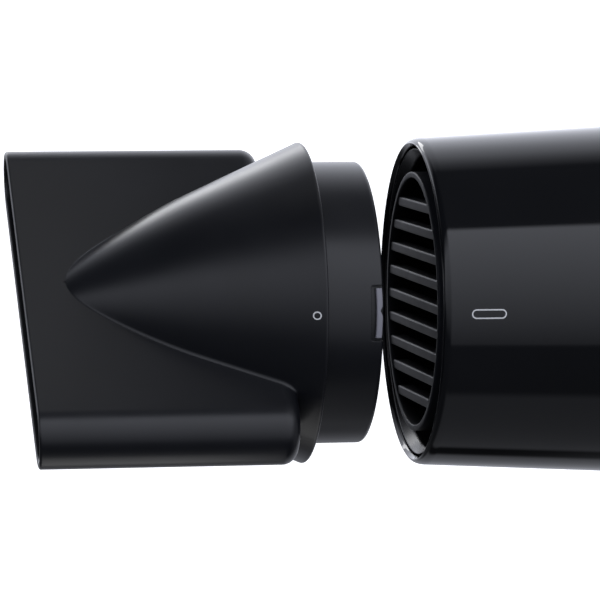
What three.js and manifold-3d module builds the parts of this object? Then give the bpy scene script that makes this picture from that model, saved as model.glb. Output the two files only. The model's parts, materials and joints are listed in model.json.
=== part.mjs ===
// A hand-held hair dryer with a pull-off concentrator nozzle, in millimetres.
// The origin is the middle of the hand grip. +X runs along the barrel towards its air inlet,
// -Y is the dryer's left side and +Z is up. The nozzle is drawn just pulled off the barrel.

import * as THREE from "three";
import { mergeVertices } from "three/addons/utils/BufferGeometryUtils.js";
import Module from "manifold-3d";

const wasm = await Module();
wasm.setup();

// ---------------------------------------------------------------- driving dimensions

const GAP = 0.3; // clearance between neighbouring pieces
const ROUND = 36; // sides of a large round
const MIDDLE_ROUND = 24; // sides of a middling round
const SMALL_ROUND = 12; // sides of a small round

// Barrel
const UNDERSIDE_HEIGHT = 48.376; // barrel's underside above the middle of the grip, over the handle
const HANDLE_FROM_TAIL = 35; // handle's centre line ahead of the shell's rear end
const RIM_RADIUS = 30.2; // crisp front edge
const RIM_LIP = 1.5; // width of the turned-in edge
const SHOULDER = 0.9; // how far the barrel swells just behind the edge
const SHOULDER_DEPTH = 3;
const FLARE_DEG = 3.1; // the barrel widens to the rear by this half angle
const BARREL_LENGTH = 140;
const BARREL_WALL = 2.2;
const TAIL_LENGTH = 16; // the rear end draws in over this length
const TAIL_INSET = 1.2;

// Outlet
const BEZEL_WALL = 0.9;
const FUNNEL_DEPTH = 2.2;
const GROOVE_WIDTH = 2.9; // the nozzle's collar slides in here
const GROOVE_FLOOR = 1.2;
const GROOVE_SPARE = 1.6; // groove left behind the collar when it is home
const RING_WALL = 1.1;
const BAR_COUNT = 9;
const BAR_HEIGHT = 1.8;
const BAR_DEPTH = 3;

// Nozzle
const COLLAR_WALL = 1.5;
const COLLAR_CLEARANCE = 0.9;
const COLLAR_REACH = 10.9; // how far the collar stands out of the skirt
const COLLAR_INSIDE = 3.6; // how far it runs on inside the skirt
const FLANGE = 0.5; // bead that keeps the collar in the shell
const FLANGE_LENGTH = 1;
const NOTCH_HEIGHT = 10.3;
const NOTCH_DEPTH = 2.3;
const NOTCH_BACKING = 0.5; // thin wall left behind the notch
const TAB_HEIGHT = 7;
const TAB_THICKNESS = 0.95;
const SKIRT_GAP = 2.4; // air between collar and skirt
const NOZZLE_WALL = 1.5;
const CONE_SLOPE = 0.453;
const CONE_LENGTH = 21.9; // straight flank, before the nose rounds off
const NOSE_LENGTH = 27;
const NOSE_BLUNTNESS = 0.31; // lower is blunter
const BLADE_WIDTH = 77;
const BLADE_THICKNESS = 13.1;
const BLADE_LENGTH = 48.6;
const BLADE_BEHIND_SKIRT = 4.9; // the blade's rear end lies this far inside the skirt rim
const BLADE_CORNER = 4;
const BLADE_TURN_DEG = 48;
const NOZZLE_TRAVEL = 21.2; // from pushed home to pulled clear

// Heater
const SHIELD_WALL = 0.8;
const HEATER_CLEARANCE = 7.7; // room between the shield and the rectifier board
const COIL_AIR_GAP = 7.8; // coil centre line to shield
const WIRE_RADIUS = 0.8;
const COIL_TURNS = 5; // in each of the two coils
const COIL_SPACING = 4;
const COIL_MARGIN = 1.5;
const BOARD_THICKNESS = 0.8;
const BOARD_SETBACK_FRONT = 1.5;
const BOARD_SETBACK_REAR = 2.5;
const BOARD_TAB = 2.5;

// Motor and fan
const MOTOR_FROM_TAIL = 62; // motor's front end ahead of the shell's rear end
const MOTOR_RADIUS = 14;
const MOTOR_LENGTH = 28;
const SHAFT_STUB = 1.5; // shaft ahead of the end cap
const RECTIFIER_SETBACK = 2; // shaft to the rectifier board
const FAN_SETBACK = 4; // motor to the fan
const CAN_WALL = 1;
const SHAFT_RADIUS = 1.5;
const BEARING_RADIUS = 4;
const BEARING_LENGTH = 3;
const MAGNET_THICKNESS = 1.6;
const AIR_GAP = 0.7;
const MOUNT_WALL = 1.6;
const VANE_COUNT = 6;
const VANE_THICKNESS = 1.5;
const FAN_LENGTH = 12;
const FAN_HUB_RADIUS = 11;
const FAN_TIP_GAP = 2.5;
const BLADE_COUNT = 7;
const BLADE_PITCH_DEG = 38;

// Air inlet
const COVER_WALL = 2;
const COVER_DEPTH = 20;
const COVER_FLAT_RADIUS = 20;
const COVER_SKIRT = 7;
const SLOT_COUNT = 12;
const SLOT_WIDTH = 2.2;
const SLOT_START = 9; // where the long slots begin; the short ones begin SLOT_STAGGER further out
const SLOT_STAGGER = 9;
const SLOT_MARGIN = 6; // slot ends to the cover's edge
const FILTER_THICKNESS = 1;

// Handle
const GRIP_DEPTH = 34;
const GRIP_WIDTH = 29;
const HANDLE_BOTTOM = 64; // below the middle of the grip
const HANDLE_WALL = 2.4;
const FOOT_EDGE = 3; // rounding around the foot
const SADDLE_RISE = 11.58; // the grip runs this far up past the barrel's underside
const FOOT_SLIMMING = { from: -18, depth: 2, width: 1.2 };
const TOP_SWEEP = { depth: 9, width: 5 };
const NECK_CLEARANCE = 1.1; // neck to the inside of the grip
const NECK_WALL = 2;
const NECK_BEAD = 1.6;
const BEAD_HEIGHT = 2.5;
const NECK_DROP = 9.4; // the neck's end below the barrel's underside
const SCREW_RADIUS = 1.2;
const SCREW_HEAD_RADIUS = 2.6;
const SCREW_HEAD = 1.8;
const BOSS_RADIUS = 3.4;
const SCREW_PLACES = { upper: [-9, 24], lower: [0, -50] };

// Switches, on the side of the handle that faces the thumb
const PANEL_DEPTH = 1; // flat recess that the sliders run in
const PANEL_WIDTH = 13;
const PANEL_BOTTOM = -17;
const PANEL_TOP = 38;
const SLIDER_WIDTH = 10.6;
const SLIDER_HEIGHT = 9;
const SLIDER_THICKNESS = 3;
const SLIDER_TRAVEL = 8;
const SLIDER_STEM = 3;
const SPEED_HEIGHT = 14; // middle of the slider's travel
const SLIDER_SPACING = 2; // between the knobs when they come closest
const BUTTON_HEIGHT = 30.5;
const BUTTON_RADIUS = 4.2;
const BUTTON_FLANGE = 1.2; // thickness of the flange that holds the button in
const BUTTON_RIM = 1.2; // and how far it stands out
const BUTTON_TRAVEL = 1.5;
const SPRING_WIRE = 0.45;
const SPRING_TURNS = 4;
const PCB_FACE = 4.6; // the board's component side
const PCB_THICKNESS = 1.6;
const PCB_MARGIN = 3.1; // board edge to the inside of the grip

// Lead inlet and hanging loop, at the foot of the handle
const GLAND_AHEAD = 5;
const GLAND_RADIUS = 5;
const GLAND_BORE = 3.2;
const GLAND_STUB = 4;
const LOOP_BEHIND = 8;
const LOOP_RADIUS = 7;
const LOOP_WIDTH = 2.4;
const LOOP_THICKNESS = 3;
const LOOP_DROP = 9; // loop centre below the handle's foot

// ---------------------------------------------------------------- worked-out sizes

const flare = Math.tan(THREE.MathUtils.degToRad(FLARE_DEG));
const bezelOuter = RIM_RADIUS - RIM_LIP - GAP;
const grooveOuter = bezelOuter - BEZEL_WALL;
const ringOuter = grooveOuter - GROOVE_WIDTH;
const ringInner = ringOuter - RING_WALL;
const collarOuter = grooveOuter - COLLAR_CLEARANCE;
const collarInner = collarOuter - COLLAR_WALL;
const floorFront = COLLAR_REACH - GAP + GROOVE_SPARE;
const floorBack = floorFront + GROOVE_FLOOR;
const skirtInner = collarOuter + SKIRT_GAP;
const skirtOuter = skirtInner + NOZZLE_WALL;
const motorStart = BARREL_LENGTH - MOTOR_FROM_TAIL;
const shaftFront = motorStart - SHAFT_STUB;
const rectifierBack = shaftFront - RECTIFIER_SETBACK;
const rectifierFront = rectifierBack - PCB_THICKNESS;
const shieldStart = floorBack + 2 * GAP + GROOVE_FLOOR;
const shieldEnd = rectifierFront - HEATER_CLEARANCE;
const shieldOuter = grooveOuter - GAP;
const shieldInner = shieldOuter - SHIELD_WALL;
const coilRadius = shieldInner - COIL_AIR_GAP;
const boardHalf = coilRadius - WIRE_RADIUS - GAP;
const boardStart = shieldStart + BOARD_SETBACK_FRONT;
const boardEnd = shieldEnd - BOARD_SETBACK_REAR;
const motorEnd = motorStart + MOTOR_LENGTH;
const fanStart = motorEnd + FAN_SETBACK;
const fanEnd = fanStart + FAN_LENGTH;
const gripHalfDepth = GRIP_DEPTH / 2;
const gripHalfWidth = GRIP_WIDTH / 2;
const footTop = -HANDLE_BOTTOM + HANDLE_WALL;
const panelFace = gripHalfDepth - PANEL_DEPTH;
const wallInside = gripHalfDepth - HANDLE_WALL;

// Outside radius of the barrel at a distance behind the rim, over its straight flare.
function barrelRadius(along) {
  return RIM_RADIUS + SHOULDER + (along - SHOULDER_DEPTH) * flare;
}

const rimAhead = BARREL_LENGTH - HANDLE_FROM_TAIL;
const axisHeight = UNDERSIDE_HEIGHT + barrelRadius(rimAhead);
const neckEnd = UNDERSIDE_HEIGHT - NECK_DROP;
const neckRadius = gripHalfWidth - HANDLE_WALL - NECK_CLEARANCE;
const gripTop = UNDERSIDE_HEIGHT + SADDLE_RISE; // inside the barrel, which trims the grip to its saddle
const pcbHalf = gripHalfWidth - HANDLE_WALL - PCB_MARGIN;
const heatHeight = SPEED_HEIGHT - SLIDER_TRAVEL - SLIDER_HEIGHT - SLIDER_SPACING;
const tailRadius = barrelRadius(BARREL_LENGTH - TAIL_LENGTH) - TAIL_INSET;

// ---------------------------------------------------------------- solids

// One closed surface that faces out, with shared vertices and no collapsed triangles.
function closedSurface(geometry) {
  const bare = geometry.clone();
  bare.deleteAttribute("normal");
  bare.deleteAttribute("uv");
  const merged = mergeVertices(bare, 1e-4);
  const corners = merged.index.array;
  const kept = [];
  for (let i = 0; i < corners.length; i += 3) {
    const [a, b, c] = [corners[i], corners[i + 1], corners[i + 2]];
    if (a !== b && b !== c && a !== c) kept.push(a, b, c);
  }
  merged.setIndex(signedVolume(merged, kept) < 0 ? kept.reverse() : kept);
  return merged;
}

function signedVolume(geometry, corners) {
  const points = geometry.attributes.position;
  const [a, b, c] = [new THREE.Vector3(), new THREE.Vector3(), new THREE.Vector3()];
  let volume = 0;
  for (let i = 0; i < corners.length; i += 3) {
    a.fromBufferAttribute(points, corners[i]);
    b.fromBufferAttribute(points, corners[i + 1]);
    c.fromBufferAttribute(points, corners[i + 2]);
    volume += a.dot(b.cross(c)) / 6;
  }
  return volume;
}

function solid(geometry) {
  const surface = closedSurface(geometry);
  return new wasm.Manifold(
    new wasm.Mesh({
      numProp: 3,
      vertProperties: new Float32Array(surface.attributes.position.array),
      triVerts: new Uint32Array(surface.index.array),
    }),
  );
}

function join(first, ...others) {
  return others.reduce((sum, other) => sum.add(other), first);
}

function cut(first, ...others) {
  return others.reduce((rest, other) => rest.subtract(other), first);
}

// A solid of revolution about the X axis, from [along, radius] pairs that close on themselves.
function turned(pairs, sides = ROUND) {
  const profile = [...pairs, pairs[0]].map(([along, radius]) => new THREE.Vector2(radius, along));
  return solid(new THREE.LatheGeometry(profile, sides).rotateZ(-Math.PI / 2));
}

function tube(outer, inner, from, to, sides = ROUND) {
  return turned([[from, inner], [from, outer], [to, outer], [to, inner]], sides);
}

function disc(radius, from, to, sides = ROUND) {
  return turned([[from, 0], [from, radius], [to, radius], [to, 0]], sides);
}

function block([x0, x1], [y0, y1], [z0, z1]) {
  const box = new THREE.BoxGeometry(x1 - x0, y1 - y0, z1 - z0);
  return solid(box.translate((x0 + x1) / 2, (y0 + y1) / 2, (z0 + z1) / 2));
}

// A round bar that lies along Y or stands along Z.
function barAlongY(radius, x, z, [y0, y1], sides = SMALL_ROUND) {
  const bar = new THREE.CylinderGeometry(radius, radius, y1 - y0, sides);
  return solid(bar.translate(x, (y0 + y1) / 2, z));
}

function barAlongZ(radius, x, [z0, z1], sides = SMALL_ROUND) {
  const bar = new THREE.CylinderGeometry(radius, radius, z1 - z0, sides).rotateX(Math.PI / 2);
  return solid(bar.translate(x, 0, (z0 + z1) / 2));
}

// A flat outline in [along, across] extruded through its thickness, lying in the XY plane.
function plate(shape, thickness, curveSteps = 6) {
  const settings = { depth: thickness, bevelEnabled: false, curveSegments: curveSteps };
  return new THREE.ExtrudeGeometry(shape, settings).translate(0, 0, -thickness / 2);
}

// A wire wound about the X axis.
function helix(radius, wire, from, pitch, turns, stepsPerTurn, sides) {
  class Winding extends THREE.Curve {
    getPoint(t, target = new THREE.Vector3()) {
      const angle = 2 * Math.PI * turns * t;
      return target.set(from + pitch * turns * t, radius * Math.cos(angle), radius * Math.sin(angle));
    }
  }
  const section = new THREE.Shape();
  for (let i = 0; i < sides; i++) {
    const angle = (2 * Math.PI * i) / sides;
    section.lineTo(wire * Math.cos(angle), wire * Math.sin(angle));
  }
  const settings = { steps: turns * stepsPerTurn, extrudePath: new Winding(), bevelEnabled: false };
  return new THREE.ExtrudeGeometry(section, settings);
}

// A body whose level sections are rounded rectangles, [height, half depth, half width] each.
function loft(levels, sides = MIDDLE_ROUND) {
  const ROUNDNESS = 2.4; // exponent of the section: 2 is an ellipse
  const bulge = (value) => Math.sign(value) * Math.abs(value) ** (2 / ROUNDNESS);
  const points = [];
  for (const [height, halfDepth, halfWidth] of levels) {
    for (let i = 0; i < sides; i++) {
      const angle = (2 * Math.PI * i) / sides;
      points.push(halfDepth * bulge(Math.cos(angle)), halfWidth * bulge(Math.sin(angle)), height);
    }
  }
  const bottomCentre = levels.length * sides;
  points.push(0, 0, levels[0][0], 0, 0, levels.at(-1)[0]);
  const corners = [];
  for (let i = 0; i < sides; i++) {
    const next = (i + 1) % sides;
    for (let level = 0; level < levels.length - 1; level++) {
      const [low, high] = [level * sides, (level + 1) * sides];
      corners.push(low + i, low + next, high + next, low + i, high + next, high + i);
    }
    const top = (levels.length - 1) * sides;
    corners.push(bottomCentre, next, i, bottomCentre + 1, top + i, top + next);
  }
  const geometry = new THREE.BufferGeometry();
  geometry.setAttribute("position", new THREE.Float32BufferAttribute(points, 3));
  geometry.setIndex(corners);
  return solid(geometry);
}

// ---------------------------------------------------------------- finishes and assembly

const FINISHES = {
  glossBlack: [0x0a0b0d, 0.08, 0],
  satinBlack: [0x18191b, 0.42, 0],
  softBlack: [0x151515, 0.7, 0],
  greyPlastic: [0x8f9295, 0.5, 0],
  whitePlastic: [0xd8d6cf, 0.5, 0],
  mica: [0xb9a98a, 0.6, 0],
  heaterWire: [0x9a958c, 0.4, 1],
  steel: [0xb5b8bb, 0.3, 1],
  zincSteel: [0xa9adb0, 0.38, 1],
  magnet: [0x2c2d30, 0.6, 0.2],
  copper: [0xb0703f, 0.35, 1],
  bronze: [0x9c7446, 0.4, 1],
  carbon: [0x1d1d1e, 0.8, 0],
  circuitBoard: [0x1f5a3a, 0.5, 0],
  blueFilm: [0x27507a, 0.4, 0],
  filterMesh: [0x2b2c2e, 0.6, 0],
};

const dryer = new THREE.Group();
const barrel = new THREE.Group();
barrel.position.set(-rimAhead, 0, axisHeight);
const nozzle = new THREE.Group();
nozzle.position.x = -NOZZLE_TRAVEL - GAP;
barrel.add(nozzle);
dryer.add(barrel);

function addPiece(group, name, made, finish) {
  const [color, roughness, metalness] = FINISHES[finish];
  const mesh = made.getMesh();
  const geometry = new THREE.BufferGeometry();
  geometry.setAttribute("position", new THREE.BufferAttribute(mesh.vertProperties, 3));
  geometry.setIndex(new THREE.BufferAttribute(mesh.triVerts, 1));
  const material = new THREE.MeshStandardMaterial({ color, roughness, metalness });
  const node = new THREE.Mesh(geometry, material);
  node.name = name;
  group.add(node);
  return node;
}

// ---------------------------------------------------------------- barrel shell

// Outer or inner line of the barrel, front to back, moved in by a wall.
function barrelLine(inset, steps = 3) {
  const line = [[0, inset > 0 ? RIM_RADIUS - RIM_LIP : RIM_RADIUS]];
  for (let i = 1; i <= steps; i++) {
    const angle = ((Math.PI / 2) * i) / steps;
    const along = SHOULDER_DEPTH * (1 - Math.cos(angle));
    line.push([along, RIM_RADIUS + SHOULDER * Math.sin(angle) - inset]);
  }
  const straightEnd = BARREL_LENGTH - TAIL_LENGTH;
  line.push([straightEnd, barrelRadius(straightEnd) - inset]);
  for (let i = 1; i <= steps; i++) {
    const part = i / steps;
    const radius = barrelRadius(straightEnd) - TAIL_INSET * part * part;
    line.push([straightEnd + TAIL_LENGTH * part, radius - inset]);
  }
  return inset > 0 ? line.filter(([along], index) => index === 0 || along > SHOULDER_DEPTH / 2) : line;
}

// The barrel's outside as a full solid, grown by a clearance, in the dryer's frame.
function barrelEnvelope(clearance) {
  const line = barrelLine(0).map(([along, radius]) => [along, radius + clearance]);
  const whole = turned([[0, 0], ...line, [BARREL_LENGTH, 0]]);
  return whole.translate([-rimAhead, 0, axisHeight]);
}

function barrelShell() {
  const skin = turned([...barrelLine(0), ...barrelLine(BARREL_WALL).reverse()]);
  const down = (height) => height - axisHeight;
  const inWall = down(UNDERSIDE_HEIGHT + BARREL_WALL / 2);
  const neck = barAlongZ(neckRadius, rimAhead, [down(neckEnd), inWall], MIDDLE_ROUND);
  const beadTop = down(neckEnd + BEAD_HEIGHT);
  const bead = barAlongZ(neckRadius + NECK_BEAD, rimAhead, [down(neckEnd), beadTop], MIDDLE_ROUND);
  const root = barAlongZ(neckRadius, rimAhead, [inWall - 1, down(UNDERSIDE_HEIGHT + 4)], MIDDLE_ROUND);
  const inside = turned([[0, 0], ...barrelLine(BARREL_WALL), [BARREL_LENGTH, 0]]);
  const bore = barAlongZ(neckRadius - NECK_WALL, rimAhead, [down(neckEnd) - 1, -neckRadius], MIDDLE_ROUND);
  return cut(join(skin, neck, bead, cut(root, inside)), bore);
}

addPiece(barrel, "barrel_shell", barrelShell(), "glossBlack");

// ---------------------------------------------------------------- outlet: bezel and grille

// Dished ring inside the front edge, with the groove for the nozzle's collar behind it.
function frontBezel() {
  const socketEnd = shieldStart + 5;
  return turned([
    [GAP, bezelOuter],
    [FUNNEL_DEPTH, grooveOuter],
    [floorFront, grooveOuter],
    [floorFront, ringOuter + GAP],
    [floorBack, ringOuter + GAP],
    [floorBack, grooveOuter],
    [socketEnd, grooveOuter],
    [socketEnd, bezelOuter],
  ]);
}

// Ring with level bars. The flange at its back is trapped between bezel and heat shield.
function outletGrille() {
  const flangeFront = floorBack + GAP;
  const flangeBack = flangeFront + GROOVE_FLOOR;
  const ring = turned([
    [0, ringInner],
    [0, ringOuter],
    [flangeFront, ringOuter],
    [flangeFront, shieldOuter],
    [flangeBack, shieldOuter],
    [flangeBack, ringInner],
  ]);
  const pitch = (2 * ringInner) / (BAR_COUNT + 1.3);
  const bars = [];
  for (let i = 0; i < BAR_COUNT; i++) {
    const height = (i - (BAR_COUNT - 1) / 2) * pitch;
    const reach = Math.sqrt(ringInner ** 2 - height ** 2) + RING_WALL / 2;
    const level = [height - BAR_HEIGHT / 2, height + BAR_HEIGHT / 2];
    bars.push(block([GAP, GAP + BAR_DEPTH], [-reach, reach], level));
  }
  const trim = disc(ringInner + RING_WALL / 2, 0, flangeBack);
  return join(ring, ...bars.map((bar) => bar.intersect(trim)));
}

addPiece(barrel, "front_bezel", frontBezel(), "glossBlack");
addPiece(barrel, "outlet_grille", outletGrille(), "satinBlack");

// ---------------------------------------------------------------- heater

// A cross of two mica boards, slotted half way into each other, that carries the coils.
function micaBoard(slotFromFront) {
  const shape = new THREE.Shape();
  const tabHalf = shieldInner - GAP;
  const edge = [
    [boardStart, tabHalf],
    [boardStart + BOARD_TAB, tabHalf],
    [boardStart + BOARD_TAB, boardHalf],
    [boardEnd - BOARD_TAB, boardHalf],
    [boardEnd - BOARD_TAB, tabHalf],
    [boardEnd, tabHalf],
  ];
  const outline = [...edge, ...edge.map(([along, half]) => [along, -half]).reverse()];
  shape.setFromPoints(outline.map(([along, across]) => new THREE.Vector2(along, across)));
  const slotHalf = BOARD_THICKNESS / 2 + GAP;
  const middle = (boardStart + boardEnd) / 2;
  const slot = slotFromFront
    ? block([boardStart - 1, middle + GAP], [-slotHalf, slotHalf], [-2, 2])
    : block([middle - GAP, boardEnd + 1], [-slotHalf, slotHalf], [-2, 2]);
  return cut(solid(plate(shape, BOARD_THICKNESS)), slot);
}

function heaterCoil(from) {
  return solid(helix(coilRadius, WIRE_RADIUS, from, coilPitch, COIL_TURNS, 8, 4));
}

const boardTop = BOARD_THICKNESS / 2 + GAP;
const coilStart = boardStart + BOARD_TAB + COIL_MARGIN;
const coilRoom = boardEnd - BOARD_TAB - COIL_MARGIN - coilStart - COIL_SPACING;
const coilPitch = coilRoom / 2 / COIL_TURNS;
addPiece(barrel, "heat_shield_tube", tube(shieldOuter, shieldInner, shieldStart, shieldEnd), "mica");
addPiece(barrel, "mica_board_level", micaBoard(true), "mica");
addPiece(barrel, "mica_board_upright", micaBoard(false), "mica").rotation.x = Math.PI / 2;
addPiece(barrel, "heater_coil_front", heaterCoil(coilStart), "heaterWire");
addPiece(barrel, "heater_coil_rear", heaterCoil(coilStart + coilRoom / 2 + COIL_SPACING), "heaterWire");
const thermostatBox = block([boardEnd - 13, boardEnd - 4], [3, 12], [boardTop, boardTop + 3.5]);
addPiece(barrel, "thermostat", thermostatBox, "whitePlastic");
const fuseBody = disc(1.6, boardEnd - 14, boardEnd - 4, SMALL_ROUND);
addPiece(barrel, "thermal_fuse", fuseBody, "steel").position.set(0, -8, boardTop + 1.6);

// ---------------------------------------------------------------- motor

const plateThickness = 1.2;
const bearingPocket = BEARING_RADIUS + GAP;
const magnetOuter = MOTOR_RADIUS - CAN_WALL - GAP;
const magnetInner = magnetOuter - MAGNET_THICKNESS;
const armatureRadius = magnetInner - AIR_GAP;
const magnetStart = motorStart + 8;
const magnetEnd = motorEnd - plateThickness - 2;

function motorCan() {
  return turned([
    [motorStart + 2, MOTOR_RADIUS - CAN_WALL],
    [motorStart + 2, MOTOR_RADIUS],
    [motorEnd, MOTOR_RADIUS],
    [motorEnd, bearingPocket],
    [motorEnd - plateThickness, bearingPocket],
    [motorEnd - plateThickness, MOTOR_RADIUS - CAN_WALL],
  ], MIDDLE_ROUND);
}

// Cap with a spigot inside the can.
function motorEndCap() {
  return turned([
    [motorStart, bearingPocket],
    [motorStart, MOTOR_RADIUS],
    [motorStart + 2 - GAP, MOTOR_RADIUS],
    [motorStart + 2 - GAP, MOTOR_RADIUS - CAN_WALL - GAP],
    [motorStart + 4, MOTOR_RADIUS - CAN_WALL - GAP],
    [motorStart + 4, MOTOR_RADIUS - CAN_WALL - 2],
    [motorStart + 2, MOTOR_RADIUS - CAN_WALL - 2],
    [motorStart + 2, bearingPocket],
  ], MIDDLE_ROUND);
}

// Arc magnet on one side of the armature; the side is 0 for right, PI for left.
function magnet(side) {
  const HALF_ARC = THREE.MathUtils.degToRad(65);
  const shape = new THREE.Shape();
  shape.absarc(0, 0, magnetOuter, side - HALF_ARC, side + HALF_ARC, false);
  shape.absarc(0, 0, magnetInner, side + HALF_ARC, side - HALF_ARC, true);
  const settings = { depth: magnetEnd - magnetStart, bevelEnabled: false, curveSegments: 6 };
  const arc = new THREE.ExtrudeGeometry(shape, settings).rotateX(Math.PI / 2).rotateZ(Math.PI / 2);
  arc.translate(magnetEnd, 0, 0);
  arc.computeBoundingBox();
  arc.translate(magnetStart - arc.boundingBox.min.x, 0, 0);
  return solid(arc);
}

// Laminated core with five slots.
function armature() {
  const POLES = 5;
  const SLOT = 1.6;
  const core = tube(armatureRadius, SHAFT_RADIUS + GAP, magnetStart + 1, magnetEnd - 1, MIDDLE_ROUND);
  const slots = [];
  for (let i = 0; i < POLES; i++) {
    const length = [magnetStart, magnetEnd];
    const slot = block(length, [-SLOT / 2, SLOT / 2], [armatureRadius * 0.55, armatureRadius + 1]);
    slots.push(slot.rotate([(360 * i) / POLES, 0, 0]));
  }
  return cut(core, ...slots);
}

function bearing(from) {
  return tube(BEARING_RADIUS, SHAFT_RADIUS + GAP, from, from + BEARING_LENGTH, SMALL_ROUND);
}

const commutatorStart = motorStart + 3;
const commutatorEnd = magnetStart + 1 - GAP;
const brushMiddle = (commutatorStart + commutatorEnd) / 2 + 0.8;
const brushFoot = BEARING_RADIUS - 0.2 + GAP;
const brushTop = MOTOR_RADIUS - CAN_WALL - 2 - GAP;

function brush(sign) {
  const reach = sign > 0 ? [brushFoot, brushTop] : [-brushTop, -brushFoot];
  return block([brushMiddle - 1, brushMiddle + 1], [-1.5, 1.5], reach);
}

addPiece(barrel, "motor_can", motorCan(), "zincSteel");
addPiece(barrel, "motor_end_cap", motorEndCap(), "whitePlastic");
addPiece(barrel, "motor_magnet_right", magnet(0), "magnet");
addPiece(barrel, "motor_magnet_left", magnet(Math.PI), "magnet");
addPiece(barrel, "motor_bearing_front", bearing(motorStart - 0.6), "bronze");
const rearBearingStart = motorEnd - plateThickness / 2 - BEARING_LENGTH / 2;
addPiece(barrel, "motor_bearing_rear", bearing(rearBearingStart), "bronze");
addPiece(barrel, "armature", armature(), "steel");
const commutator = tube(
  BEARING_RADIUS - 0.2,
  SHAFT_RADIUS + GAP,
  commutatorStart + GAP,
  commutatorEnd,
  SMALL_ROUND,
);
addPiece(barrel, "commutator", commutator, "copper");
addPiece(barrel, "motor_brush_upper", brush(1), "carbon");
addPiece(barrel, "motor_brush_lower", brush(-1), "carbon");
addPiece(barrel, "motor_shaft", disc(SHAFT_RADIUS, shaftFront, fanEnd - 3, SMALL_ROUND), "steel");

// Round board on the motor's end cap, with a film capacitor in front of it.
const rectifier = tube(MOTOR_RADIUS - 2, 3, rectifierFront, rectifierBack, MIDDLE_ROUND);
addPiece(barrel, "rectifier_board", rectifier, "circuitBoard");
const capacitorBack = rectifierFront - GAP;
const capacitor = block([capacitorBack - HEATER_CLEARANCE + 0.7, capacitorBack], [-5.5, 5.5], [4, 9]);
addPiece(barrel, "capacitor", capacitor, "blueFilm");

// ---------------------------------------------------------------- motor mount and fan

// Sleeve around the motor, straightening vanes, and a ring against the barrel's inside.
function motorMount() {
  const [from, to] = [motorStart + 3, motorEnd - 2];
  const sleeveInner = MOTOR_RADIUS + GAP;
  const sleeve = tube(sleeveInner + MOUNT_WALL, sleeveInner, from, to, MIDDLE_ROUND);
  const ringRadius = (along) => barrelRadius(along) - BARREL_WALL - GAP;
  const ring = turned([
    [from, ringRadius(from) - MOUNT_WALL],
    [from, ringRadius(from)],
    [to, ringRadius(to)],
    [to, ringRadius(to) - MOUNT_WALL],
  ]);
  const vanes = [];
  for (let i = 0; i < VANE_COUNT; i++) {
    const half = VANE_THICKNESS / 2;
    const reach = [sleeveInner + MOUNT_WALL / 2, ringRadius(from) - MOUNT_WALL / 2];
    const vane = block([from + 1, to - 2], [-half, half], reach);
    vanes.push(vane.rotate([(360 * i) / VANE_COUNT + 30, 0, 0]));
  }
  return join(sleeve, ring, ...vanes);
}

// Axial fan: a cup-shaped hub on the shaft with pitched blades.
function fanImpeller() {
  const tip = barrelRadius(fanStart) - BARREL_WALL - FAN_TIP_GAP;
  const bore = SHAFT_RADIUS + GAP;
  const hub = turned([
    [fanStart, bore],
    [fanStart, bore + 2.5],
    [fanEnd - 4, bore + 2.5],
    [fanEnd - 4, FAN_HUB_RADIUS - 1.5],
    [fanStart, FAN_HUB_RADIUS - 1.5],
    [fanStart, FAN_HUB_RADIUS],
    [fanEnd - 3, FAN_HUB_RADIUS],
    [fanEnd, FAN_HUB_RADIUS - 3],
    [fanEnd, bore],
  ], MIDDLE_ROUND);
  const blades = [];
  for (let i = 0; i < BLADE_COUNT; i++) {
    const middle = (fanStart + fanEnd - 2) / 2;
    const chord = (FAN_LENGTH - 3) / Math.cos(THREE.MathUtils.degToRad(BLADE_PITCH_DEG));
    const span = tip - FAN_HUB_RADIUS + 0.8;
    const blade = new THREE.BoxGeometry(chord * 0.8, 1.3, span);
    blade.rotateZ(THREE.MathUtils.degToRad(BLADE_PITCH_DEG));
    blade.translate(middle, 0, tip - span / 2);
    blades.push(solid(blade).rotate([(360 * i) / BLADE_COUNT, 0, 0]));
  }
  return join(hub, ...blades);
}

addPiece(barrel, "motor_mount", motorMount(), "softBlack");
addPiece(barrel, "fan_impeller", fanImpeller(), "softBlack");

// ---------------------------------------------------------------- air inlet

const coverStart = BARREL_LENGTH + GAP;
const skirtRadius = tailRadius - BARREL_WALL - GAP;

// Domed cover whose skirt pushes into the barrel, with rays of slots.
function inletCover() {
  const dome = [];
  const domeInside = [];
  const STEPS = 3;
  for (let i = 0; i <= STEPS; i++) {
    const angle = ((Math.PI / 2) * i) / STEPS;
    const radius = COVER_FLAT_RADIUS + (tailRadius - COVER_FLAT_RADIUS) * Math.cos(angle);
    const along = coverStart + COVER_DEPTH * Math.sin(angle);
    dome.push([along, radius]);
    if (i > 0) domeInside.unshift([along - COVER_WALL * Math.sin(angle), radius - COVER_WALL * Math.cos(angle)]);
  }
  const skirtStart = coverStart - COVER_SKIRT;
  const shell = turned([
    [skirtStart, skirtRadius - COVER_WALL],
    [skirtStart, skirtRadius],
    [coverStart, skirtRadius],
    ...dome,
    [coverStart + COVER_DEPTH, 0],
    [coverStart + COVER_DEPTH - COVER_WALL, 0],
    ...domeInside,
    [coverStart, skirtRadius - COVER_WALL],
  ], MIDDLE_ROUND);
  const slots = [];
  for (let i = 0; i < 2 * SLOT_COUNT; i++) {
    const start = i % 2 ? SLOT_START + SLOT_STAGGER : SLOT_START;
    const end = tailRadius - SLOT_MARGIN;
    const depth = [coverStart + 1, coverStart + COVER_DEPTH + 1];
    const slot = block(depth, [-SLOT_WIDTH / 2, SLOT_WIDTH / 2], [start, end]);
    slots.push(slot.rotate([(180 * i) / SLOT_COUNT, 0, 0]));
  }
  return cut(shell, ...slots);
}

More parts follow.
